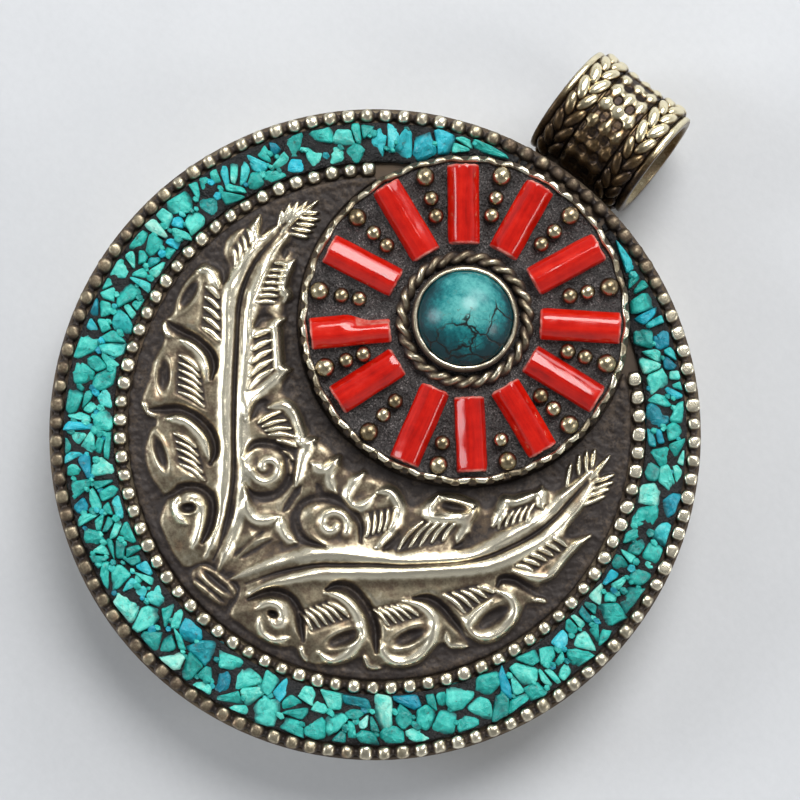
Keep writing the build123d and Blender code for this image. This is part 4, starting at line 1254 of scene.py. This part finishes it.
def ring_shape(profile, segments, uneven, wear):
    """A closed profile of (radius, level) points carried round the middle of the boss."""
    turn = circle(segments)
    radius, level = profile_rows(profile, segments)
    more_radius, more_level = uneven(turn[:, None], radius, level)
    radius, level = radius + more_radius, level + more_level
    shape = Shape()
    points = about(turn, radius, level, BOSS_Y)
    shape.add(points, tube_faces(segments, len(profile)), wear=wear(turn[:, None], radius, level).ravel())
    return shape


TEETH = 59
TOOTH_STEPS = 20
# Radius and level of each point of the strip's section
GALLERY_PROFILE = (
    (16.46, 11.0), (16.46, 11.8), (16.46, 12.6), (16.45, 13.1), (16.43, 13.40), (16.40, 13.62),
    (16.36, 13.82), (16.24, 13.95), (16.10, 13.99), (15.95, 13.99), (15.82, 13.94), (15.75, 13.80),
    (15.73, 13.5), (15.72, 12.4), (15.72, 11.0),
)


def gallery_uneven(turn, radius, level):
    teeth = np.cos(TEETH * turn)
    outside = ramp(radius, 16.0, 16.25) * ramp(level, BOSS_TOP - 0.3, BOSS_TOP - 0.6)
    scallop = ramp(teeth, -0.5, 1.0) * ramp(radius, 15.98, 16.2)
    scallop = scallop * ramp(level, BOSS_TOP - 0.7, BOSS_TOP - 0.4)
    sway = 0.10 * wobble(turn, 22, 31) + 0.07 * np.cos(TEETH * turn / 2)
    more = -0.20 * (1 - ramp(teeth, -0.35, 0.35)) * outside - 0.30 * scallop
    more = more + (sway - 0.08) * ramp(level, PLATE_TOP + 0.6, BOSS_TOP - 0.4)
    lower = (0.14 * wobble(turn, 16, 32) - 0.08) * ramp(level, BOSS_TOP - 1.2, BOSS_TOP - 0.3)
    return more, np.minimum(lower, BOSS_TOP - level)


def gallery_wear(turn, radius, level):
    teeth = np.cos(TEETH * turn)
    top = ramp(level, BOSS_TOP - 0.40, BOSS_TOP - 0.16)
    ribs = 0.30 * ramp(teeth, -0.35, 0.35) * ramp(radius, 15.9, 16.2) * ramp(level, 12.2, 13.4)
    worn = 0.66 + 0.8 * wobble(turn, 14, 33)
    scallop = ramp(teeth, 0.3, 1.0) * ramp(radius, 15.95, 16.05)
    return np.clip((0.07 + top * worn + ribs) * (1 - 0.6 * scallop), 0, 1)


gallery = ring_shape(GALLERY_PROFILE, TEETH * TOOTH_STEPS, gallery_uneven, gallery_wear)
make_piece("boss_strip", gallery, worn_metal, ("boss_gallery",))

BED_STEP = 0.16
rod_rays = [(math.cos(math.radians(a)), math.sin(math.radians(a))) for a in ROD_ANGLES]


def bed_inside(x, y):
    return BOSS_INSIDE - np.hypot(x, y - BOSS_Y)


def bed_height(x, y):
    """Gritty resin that creeps up the rods and the strip."""
    lumps = 0.16 * noise(x, y, 1.3, 41) + 0.16 * noise(x, y, 0.55, 42) + 0.16 * noise(x, y, 0.32, 43)
    rise = 0.8 * np.exp(-((bed_inside(x, y) / 0.5) ** 2))
    middle = (ROD_INNER + ROD_OUTER) / 2
    for (c, s), trim in zip(rod_rays, ROD_TRIMS):
        along = x * c + (y - BOSS_Y) * s
        over = np.maximum(np.abs(along - middle) - (ROD_OUTER - ROD_INNER - trim) / 2, 0)
        beside = np.maximum(np.abs((y - BOSS_Y) * c - x * s) - ROD_RADIUS + 0.1, 0)
        rise = np.maximum(rise, np.exp(-((np.hypot(over, beside) / 0.42) ** 2)))
    return BED_TOP + 0.02 + 0.30 * rise + lumps, {}


bed = field_shape(bed_inside, BOSS_INSIDE, BOSS_Y, BED_STEP, bed_height, PLATE_TOP)
make_piece("boss_resin", bed, boss_resin, ("boss_bed",))

# Coral rods: polished sticks with broken ends
# How much wider and longer than the solids the sticks are, and how much nearer the middle they start
ROD_SPREAD = 1.16
ROD_EXTRA = 0.3
ROD_EARLY = 0.1
ROD_SIDES = 7
ROD_SEGMENTS = 40
ROD_STATIONS = 26
NOTCHED_ROD = 8
# Distance from an end of a rod, and the share of its thickness there
ROD_END = ((0.0, 0.80), (0.03, 0.92), (0.09, 0.975), (0.2, 1.0))


def rod_stations(length):
    """Places along a rod with the share of its thickness at each."""
    inner = ROD_END[-1][0]
    stations = list(ROD_END)
    stations += [(t, 1.0) for t in np.linspace(inner, length - inner, ROD_STATIONS)[1:-1]]
    stations += [(length - t, share) for t, share in reversed(ROD_END)]
    return stations


def rod_reach(number, turn, t, share, chip, near_end):
    """Distance of the rod's skin from its axis, round the rod at one place along it."""
    facet = math.pi / ROD_SIDES
    phase = 2 * math.pi * draw(number, 51) / ROD_SIDES
    flat = np.cos(facet) / np.cos(np.mod(turn + phase, 2 * facet) - facet)
    reach = ROD_RADIUS * share * (0.25 + 0.75 * flat)
    reach = reach + 0.05 * noise(turn * 0 + t, np.cos(turn) * 2, 1.8, 53 + number)
    reach = np.minimum(reach * (1 - 0.10 * near_end * np.maximum(chip, 0) * 2), ROD_RADIUS)
    if number == NOTCHED_ROD:
        notch = ramp(t - 0.9 * np.cos(turn), 5.4, 2.6) * ramp(-np.cos(turn), -0.1, 0.7)
        reach = reach * (1 - 0.50 * notch)
    return reach


def coral_stick(number, c, s, trim):
    """The rod of this number, along the ray (c, s) from the middle of the boss."""
    length = ROD_OUTER - ROD_INNER - trim + ROD_EXTRA
    start = ROD_INNER + trim / 2 - ROD_EARLY
    turn = circle(ROD_SEGMENTS)
    rings = []
    for t, share in rod_stations(length):
        near_end = 1 - ramp(min(t, length - t), 0.0, 0.9)
        chip = noise(np.cos(turn) * 1.3 + number * 5, np.sin(turn) * 1.3 + (t > length / 2) * 9, 0.8, 52)
        reach = rod_reach(number, turn, t, share, chip, near_end)
        along = start + t + np.abs(0.30 * near_end * chip) * np.sign(length / 2 - t)
        side, up = ROD_SPREAD * reach * np.cos(turn), reach * np.sin(turn)
        rings.append(np.stack((along * c - side * s, BOSS_Y + along * s + side * c, ROD_LEVEL + up), -1))
    points = np.vstack([(rings[0].mean(0),)] + rings + [(rings[-1].mean(0),)])
    x, y, z = points[:, 0], points[:, 1] - BOSS_Y, points[:, 2]
    along, side = x * c + y * s, y * c - x * s
    worn = ramp(np.minimum(along - start, start + length - along), 0.5, 0.0)
    if number == NOTCHED_ROD:
        worn = np.maximum(worn, ramp(along - start, 3.8, 3.0) * ramp(-side, 0.0, 0.5))
    rod = Shape()
    rod.add(
        points,
        pole_faces(len(rings), ROD_SEGMENTS),
        lay_x=along * MM * 0.18 + number * 0.05,
        lay_y=side * MM * 1.6,
        lay_z=(z - ROD_LEVEL) * MM * 1.6,
        worn=worn,
        tone=0.14 * (draw(number, 54) - 0.5),
    )
    return rod


for number, ((c, s), trim) in enumerate(zip(rod_rays, ROD_TRIMS)):
    rod = coral_stick(number, c, s, trim)
    make_piece(f"coral_stick_{number + 1:02d}", rod, coral, (f"coral_rod_{number + 1:02d}",))

# Shot: uneven balls that sit in the bed
BALL_RINGS = 18
BALL_SEGMENTS = 28
ball, ball_faces = ball_points(BALL_RINGS, BALL_SEGMENTS)
shot = Shape()
next_angles = ROD_ANGLES[1:] + (ROD_ANGLES[0] - 360,)
shot_number = 0
for angle, next_angle, count in zip(ROD_ANGLES, next_angles, SHOT_COUNTS):
    between = math.radians((angle + next_angle) / 2)
    for place, size in list(zip(SHOT_PLACES, SHOT_SIZES))[:count]:
        reach = ROD_INNER + place * (ROD_OUTER - ROD_INNER)
        size = size * (0.98 + 0.06 * draw(shot_number, 61))
        x, y = reach * math.cos(between), BOSS_Y + reach * math.sin(between)
        middle = np.array((x, y, BED_TOP + 0.6 * size))
        uneven = 1 + 0.03 * noise(ball[:, 0] * 2 + shot_number, ball[:, 1] * 2, 1.0, 62)[:, None]
        wear = 0.11 + 0.46 * ramp(ball[:, 2], -0.1, 0.85) * (0.6 + 0.6 * draw(shot_number, 63))
        shot.add(middle + ball * uneven * size, ball_faces, wear=np.clip(wear, 0, 1))
        shot_number += 1
make_piece("shot_balls", shot, brassy_metal, ("shot_beads",))

# Rope: two strands twisted round each other
ROPE_TWISTS = 13
ROPE_SEGMENTS = 416
STRAND_SIDES = 12
STRAND_OFFSET = 0.27
STRAND_LEVEL = 0.43
STRAND_RADIUS = 0.45
rope = Shape()
ring_turn = circle(ROPE_SEGMENTS)
tube_turn = circle(STRAND_SIDES)[None, :]
for strand in (0, math.pi):
    phase = ROPE_TWISTS * ring_turn + strand
    reach = ROPE_RADIUS + STRAND_OFFSET * np.cos(phase)
    level = BED_TOP + STRAND_LEVEL + STRAND_OFFSET * np.sin(phase)
    thick = STRAND_RADIUS * (1 + 0.12 * wobble(ring_turn, 20, 71, strand))[:, None]
    radius = reach[:, None] + thick * np.cos(tube_turn)
    z = level[:, None] + thick * np.sin(tube_turn)
    rubbed = 0.46 + 0.40 * wobble(ring_turn, 9, 72, strand)
    wear = 0.05 + rubbed[:, None] * ramp(z, BED_TOP + 0.60, BED_TOP + 1.1)
    points = about(ring_turn, radius, z, BOSS_Y)
    rope.add(points, tube_faces(ROPE_SEGMENTS, STRAND_SIDES), wear=wear.ravel())
make_piece("twisted_rope", rope, worn_metal, ("rope_ring",))

# Bezel pressed over the cabochon: radius and level of each point of its section
BEZEL_SEGMENTS = 360
BEZEL_PROFILE = (
    (5.30, 13.2), (5.30, 14.0), (5.29, 14.6), (5.24, 14.88), (5.12, 15.03), (4.97, 15.09),
    (4.82, 15.07), (4.73, 14.98), (4.74, 14.86), (4.84, 14.68), (4.93, 14.4), (4.93, 13.2),
)


def bezel_uneven(turn, radius, level):
    high = ramp(level, 14.4, 15.0)
    more = high * (0.07 * wobble(turn, 3, 81) + 0.05 * wobble(turn, 9, 82)) - 0.02 * high
    return more, -0.05 * high * (0.5 + wobble(turn, 5, 83))


def bezel_wear(turn, radius, level):
    return np.clip(0.10 + 0.66 * ramp(level, 14.85, 15.06) * ramp(radius, 5.16, 5.02), 0, 1)


bezel = ring_shape(BEZEL_PROFILE, BEZEL_SEGMENTS, bezel_uneven, bezel_wear)
make_piece("stone_collar", bezel, worn_metal, ("stone_bezel",))

# Cabochon
DOME_RINGS = 41
DOME_SEGMENTS = 96
DOME_HEIGHT = 2.9
GIRDLE = 14.5
STONE_FOOT = 14.2
POLE_DROP = 0.01


def cabochon():
    """A dented dome on a short drum, with the values that place its veins, its painted lit patch and
    painted dark rim, and its rust.
    """
    sphere = (STONE_RADIUS**2 + DOME_HEIGHT**2) / (2 * DOME_HEIGHT)
    profile = []
    for share in np.linspace(0, 1, DOME_RINGS + 1)[1:]:
        r = STONE_RADIUS * math.sin(share * math.pi / 2)
        profile.append((r, GIRDLE + math.sqrt(sphere**2 - r**2) - (sphere - DOME_HEIGHT)))
    profile += [(STONE_RADIUS, STONE_FOOT), (STONE_RADIUS, BED_TOP)]
    turn = circle(DOME_SEGMENTS)
    points = [np.array(((0.0, 0.0, GIRDLE + DOME_HEIGHT - POLE_DROP),))]
    for r, z in profile:
        x, y = r * np.cos(turn), r * np.sin(turn)
        above = ramp(z, 14.4, 15.2)
        dent = 0.05 * noise(x, y, 2.4, 91) * above - 0.025 * above
        points.append(np.stack((x, y, z + dent), -1))
    points.append(np.array(((0.0, 0.0, BED_TOP),)))
    points = np.vstack(points)
    x, y = points[:, 0], points[:, 1]
    vein = ramp(x * 0.90 - y * 0.44, -0.8, 0.4)
    # pale: painted light, a lit patch toward the upper middle, and painted shade, a darker rim
    pale = 0.56 * ramp(np.hypot(x + 0.6, y - 1.5), 5.6, 0.8) - 0.22
    pale = pale - 0.24 * ramp(np.hypot(x, y), 3.7, 4.9)
    rust = ramp(np.hypot(x + 1.2, y - 0.1), 2.4, 0.5)
    stone = Shape()
    faces = pole_faces(len(profile), DOME_SEGMENTS)
    stone.add(points + np.array((0.0, BOSS_Y, 0.0)), faces, vein=vein, pale=pale, rust=rust)
    return stone


make_piece("cabochon", cabochon(), veined_stone, ("middle_stone",))

# Bail: rolled band, wheat-ear plaits and a woven middle, in the bail's own round coordinates
bail_axis = np.array((math.cos(BAIL_TWIST), 0.0, math.sin(BAIL_TWIST)))
bail_out = np.array((0.0, 1.0, 0.0))
bail_up = np.cross(bail_axis, bail_out)
# The solder foot's half length, level and half width, as seen from the middle of the bail
FOOT_LONG = 4.0
FOOT_LEVEL = -1.0
FOOT_WIDE = 2.3
# The band is painted dark, as shade, at and below the first y, and painted bright, as light, at and above
# the second
BAIL_SHADE_Y = 36.0
BAIL_LIT_Y = 41.2


def on_bail(along, turn, radius):
    """Points at a place along the bail, turned about it from +Y, at a radius."""
    along, turn, radius = np.broadcast_arrays(along, turn, radius)
    out = np.cos(turn)[..., None] * bail_out + np.sin(turn)[..., None] * bail_up
    return BAIL_MIDDLE + along[..., None] * bail_axis + radius[..., None] * out


def off_foot(along, turn, radius):
    """True where nothing on the band would run into the solder foot."""
    x, y, z = on_bail(np.float64(along), np.float64(turn), np.float64(radius)) - BAIL_MIDDLE
    return not (y < 0 and abs(x) < FOOT_LONG and abs(z - FOOT_LEVEL) < FOOT_WIDE)


def bail_light_and_shade(points):
    """Painted light and shade as a share of polish left: the band is painted dark as shade where it nears
    the disc and painted bright as light on top.
    """
    return 0.14 + 0.90 * ramp(points[..., 1], BAIL_SHADE_Y, BAIL_LIT_Y)


BAND_SEGMENTS = 144
# Place along the tube and radius of each point of the band's section
BAND_PROFILE = (
    (-5.80, 5.00), (-5.80, 5.62), (-5.74, 5.80), (-5.60, 5.89), (-5.34, 5.90), (-5.12, 5.82),
    (-5.02, 5.66), (-3.0, 5.64), (0.0, 5.62), (3.0, 5.64), (5.02, 5.66), (5.12, 5.82), (5.34, 5.90),
    (5.60, 5.89), (5.74, 5.80), (5.80, 5.62), (5.80, 5.00), (5.68, 4.89), (3.0, 4.86), (0.0, 4.86),
    (-3.0, 4.86), (-5.68, 4.89),
)
turn = circle(BAND_SEGMENTS)[:, None]
along, radius = profile_rows(BAND_PROFILE, BAND_SEGMENTS)
radius = radius + 0.05 * (noise(turn * 4 + along, along, 1.2, 101) - 0.3) * ramp(radius, 5.3, 5.7)
band_points = on_bail(along, turn, radius)
# The polish of the band is cut by the painted shade near the disc and raised by the painted light on top
band_wear = (0.28 + 0.55 * ramp(radius, 5.7, 5.86)) * bail_light_and_shade(band_points)
# Painted light on the lower part of the bore, which is lit while its upper part lies in shade
band_wear = band_wear + 0.45 * ramp(radius, 5.1, 4.9) * ramp(band_points[..., 1], 42.0, 37.5)
band = Shape()
band.add(band_points, tube_faces(BAND_SEGMENTS, len(BAND_PROFILE)), wear=band_wear.ravel())
make_piece("bail_ring", band, brassy_metal, ("bail_band",))

# Sleeves round the band, their woven net and the studs of the plaits, in millimetres and radians
SLEEVE_STEPS = 330
SLEEVE_COLUMNS = 46
SLEEVE_FROM = -math.pi + 0.62
SLEEVE_TO = math.pi - 0.22
SLEEVE_FOOT = 5.66
SLEEVE_RADIUS = 5.80
WEAVE_ALONG = 1.5
WEAVE_TURN = 2 * math.pi / 18
WEAVE_RISE = 0.42
NET_HALF = 2.25
STUDS = 18
STUD_LONG = 1.42
STUD_WIDE = 0.62
STUD_RISE = 0.80
STUD_SINK = 0.20
STUD_POWER = 0.95
STUD_SLANT = 0.36
PLAIT_AT = 3.65
PLAIT_HALF = 1.3
PLAIT_SPLIT = 0.62


def sleeve(shape, low, high, weave=0.0):
    """A thin shell round the band between two places along it, cut where the foot is.

    weave is the height of the woven net on it, with a sunk square hole between its crossings.
    """
    turns = np.linspace(SLEEVE_FROM, SLEEVE_TO, SLEEVE_STEPS)[:, None]
    along = np.concatenate(((low,), np.linspace(low, high, SLEEVE_COLUMNS), (high,)))[None, :]
    edge = ramp(np.minimum(along - low, high - along), 0.0, 0.12)
    column = along / WEAVE_ALONG + 0.10 * noise(turns * 3, along, 1.1, 115)
    row = turns / WEAVE_TURN + 0.08 * noise(turns * 3, along, 1.1, 116)
    hole = (np.abs(np.mod(column, 1) - 0.5) / 0.30) ** 3 + (np.abs(np.mod(row, 1) - 0.5) / 0.26) ** 3
    crossing = (np.cos(math.pi * column) * np.cos(math.pi * row)) ** 2
    net = ramp(hole, 0.5, 1.8) * (0.36 + 0.64 * crossing + 0.35 * noise(turns * 6, along, 0.8, 117))
    radius = SLEEVE_RADIUS + 0.09 * edge + weave * np.clip(net, 0, 1) * edge
    radius[:, [0, -1]] = SLEEVE_FOOT
    points = on_bail(along, turns, radius)
    wear = 0.05 + 0.98 * ramp(net, 0.20, 0.70) * bail_light_and_shade(points) * (weave > 0)
    shape.add(points, tube_faces(SLEEVE_STEPS, along.shape[1], False), wear=wear.ravel())


def studs(shape, along, slant, offset):
    """Rounded studs all round the band, slanted in the surface."""
    template = np.sign(ball) * np.abs(ball) ** STUD_POWER
    c, s = math.cos(slant), math.sin(slant)
    for n in range(STUDS):
        turn = 2 * math.pi * (n + offset) / STUDS
        if not off_foot(along, turn, BAIL_RADIUS + STUD_RISE):
            continue
        size = 0.90 + 0.14 * draw(n, 111 + int(along * 10))
        run, wide = template[:, 0] * STUD_LONG * size, template[:, 1] * STUD_WIDE * size
        at = along + run * s + wide * c
        swing = turn + (run * c - wide * s) / (BAIL_RADIUS + 0.3)
        lift = BAIL_RADIUS + STUD_SINK + template[:, 2] * (STUD_RISE - STUD_SINK) * size
        points = on_bail(at, swing, np.minimum(lift, BAIL_RADIUS + STUD_RISE))
        wear = (0.08 + 0.95 * ramp(template[:, 2], 0.15, 0.9)) * bail_light_and_shade(points)
        shape.add(points, ball_faces, wear=wear)


for side, name in ((-1, "left"), (1, "right")):
    plait = Shape()
    sleeve(plait, side * PLAIT_AT - PLAIT_HALF, side * PLAIT_AT + PLAIT_HALF)
    studs(plait, side * PLAIT_AT - PLAIT_SPLIT, STUD_SLANT, 0.0)
    studs(plait, side * PLAIT_AT + PLAIT_SPLIT, -STUD_SLANT, 0.5)
    make_piece(f"bail_wheat_{name}", plait, brassy_metal, (f"bail_plait_{name}",))

grains = Shape()
sleeve(grains, -NET_HALF, NET_HALF, WEAVE_RISE)
make_piece("bail_grains", grains, brassy_metal, ("bail_grain",))

# Solids that show as they are
for name in ("case_wall", "back_plate", "lid_collar"):
    for held in nodes[name].material_slots:
        held.material = plain_metal
for name in ("front_plate", "bail_foot"):
    for held in nodes[name].material_slots:
        held.material = dark_metal

# Floor
FLOOR_SIZE = 3.0
bpy.ops.mesh.primitive_plane_add(size=FLOOR_SIZE)
floor = bpy.context.object
floor.name = "floor"
floor.data.materials.append(floor_material())

# Sky, brighter near the horizon, and soft lamps
SKY_STRENGTH = 0.72
SKY_STOPS = ((0.05, (0.82, 0.83, 0.84, 1.0)), (0.95, (0.27, 0.275, 0.28, 1.0)))
world = bpy.data.worlds.new("studio")
bpy.context.scene.world = world
world.use_nodes = True
sky_tree = world.node_tree
sky = sky_tree.nodes["Background"]
sky_place = sky_tree.nodes.new("ShaderNodeTexCoord")
sky_split = sky_tree.nodes.new("ShaderNodeSeparateXYZ")
sky_band = sky_tree.nodes.new("ShaderNodeValToRGB")
sky_tree.links.new(sky_place.outputs["Generated"], sky_split.inputs["Vector"])
sky_tree.links.new(sky_split.outputs["Z"], sky_band.inputs["Fac"])
sky_tree.links.new(sky_band.outputs["Color"], sky.inputs["Color"])
for element, (at, colour) in zip(sky_band.color_ramp.elements, SKY_STOPS):
    element.position = at
    element.color = colour
sky.inputs["Strength"].default_value = SKY_STRENGTH


def softbox(name, azimuth, elevation, distance, width, height, energy, colour):
    """An area lamp that faces the middle of the disc."""
    lamp = bpy.data.lights.new(name, "AREA")
    lamp.shape = "ELLIPSE"
    lamp.size, lamp.size_y = width, height
    lamp.energy = energy
    lamp.color = colour
    made = bpy.data.objects.new(name, lamp)
    a, e = math.radians(azimuth), math.radians(elevation)
    way = np.array((math.cos(a) * math.cos(e), math.sin(a) * math.cos(e), math.sin(e)))
    made.location = (way * distance).tolist()
    made.rotation_mode = "QUATERNION"
    made.rotation_quaternion = Vector(-way).to_track_quat("-Z", "Y")
    bpy.context.scene.collection.objects.link(made)


softbox("key", 112, 58, 0.75, 0.36, 0.36, 3.8, (1.0, 0.985, 0.96))
softbox("low", 98, 33, 0.80, 0.50, 0.34, 1.9, (0.98, 0.99, 1.0))
softbox("side", 210, 27, 0.80, 0.30, 0.44, 2.2, (0.92, 0.96, 1.0))
softbox("back", 20, 30, 0.90, 0.26, 0.30, 1.2, (1.0, 0.98, 0.95))

# Camera where the photograph was taken from, for a square picture
TILT_X, TILT_Y, ROLL = math.radians(-2.90), math.radians(0.74), math.radians(-38.41)
EYE_DISTANCE, PIXELS_PER_MM = 300.0, 10.034
AIM_X, AIM_Y = -2.44, -3.273
SENSOR_WIDTH = 36.0
PICTURE_PIXELS = 800
turned = Matrix.Rotation(TILT_X, 3, "X") @ Matrix.Rotation(TILT_Y, 3, "Y") @ Matrix.Rotation(ROLL, 3, "Z")
axes = turned.transposed()
lens = bpy.data.cameras.new("photo")
lens.sensor_width = SENSOR_WIDTH
lens.lens = SENSOR_WIDTH * PIXELS_PER_MM * EYE_DISTANCE / PICTURE_PIXELS
eye = bpy.data.objects.new("photo", lens)
eye.matrix_world = axes.to_4x4()
place = np.array(axes) @ np.array((-AIM_X, -AIM_Y, EYE_DISTANCE)) + np.array((0, 0, PLATE_TOP))
eye.location = (place * MM).tolist()
bpy.context.scene.collection.objects.link(eye)
bpy.context.scene.camera = eye
bpy.context.scene.view_settings.view_transform = "Standard"
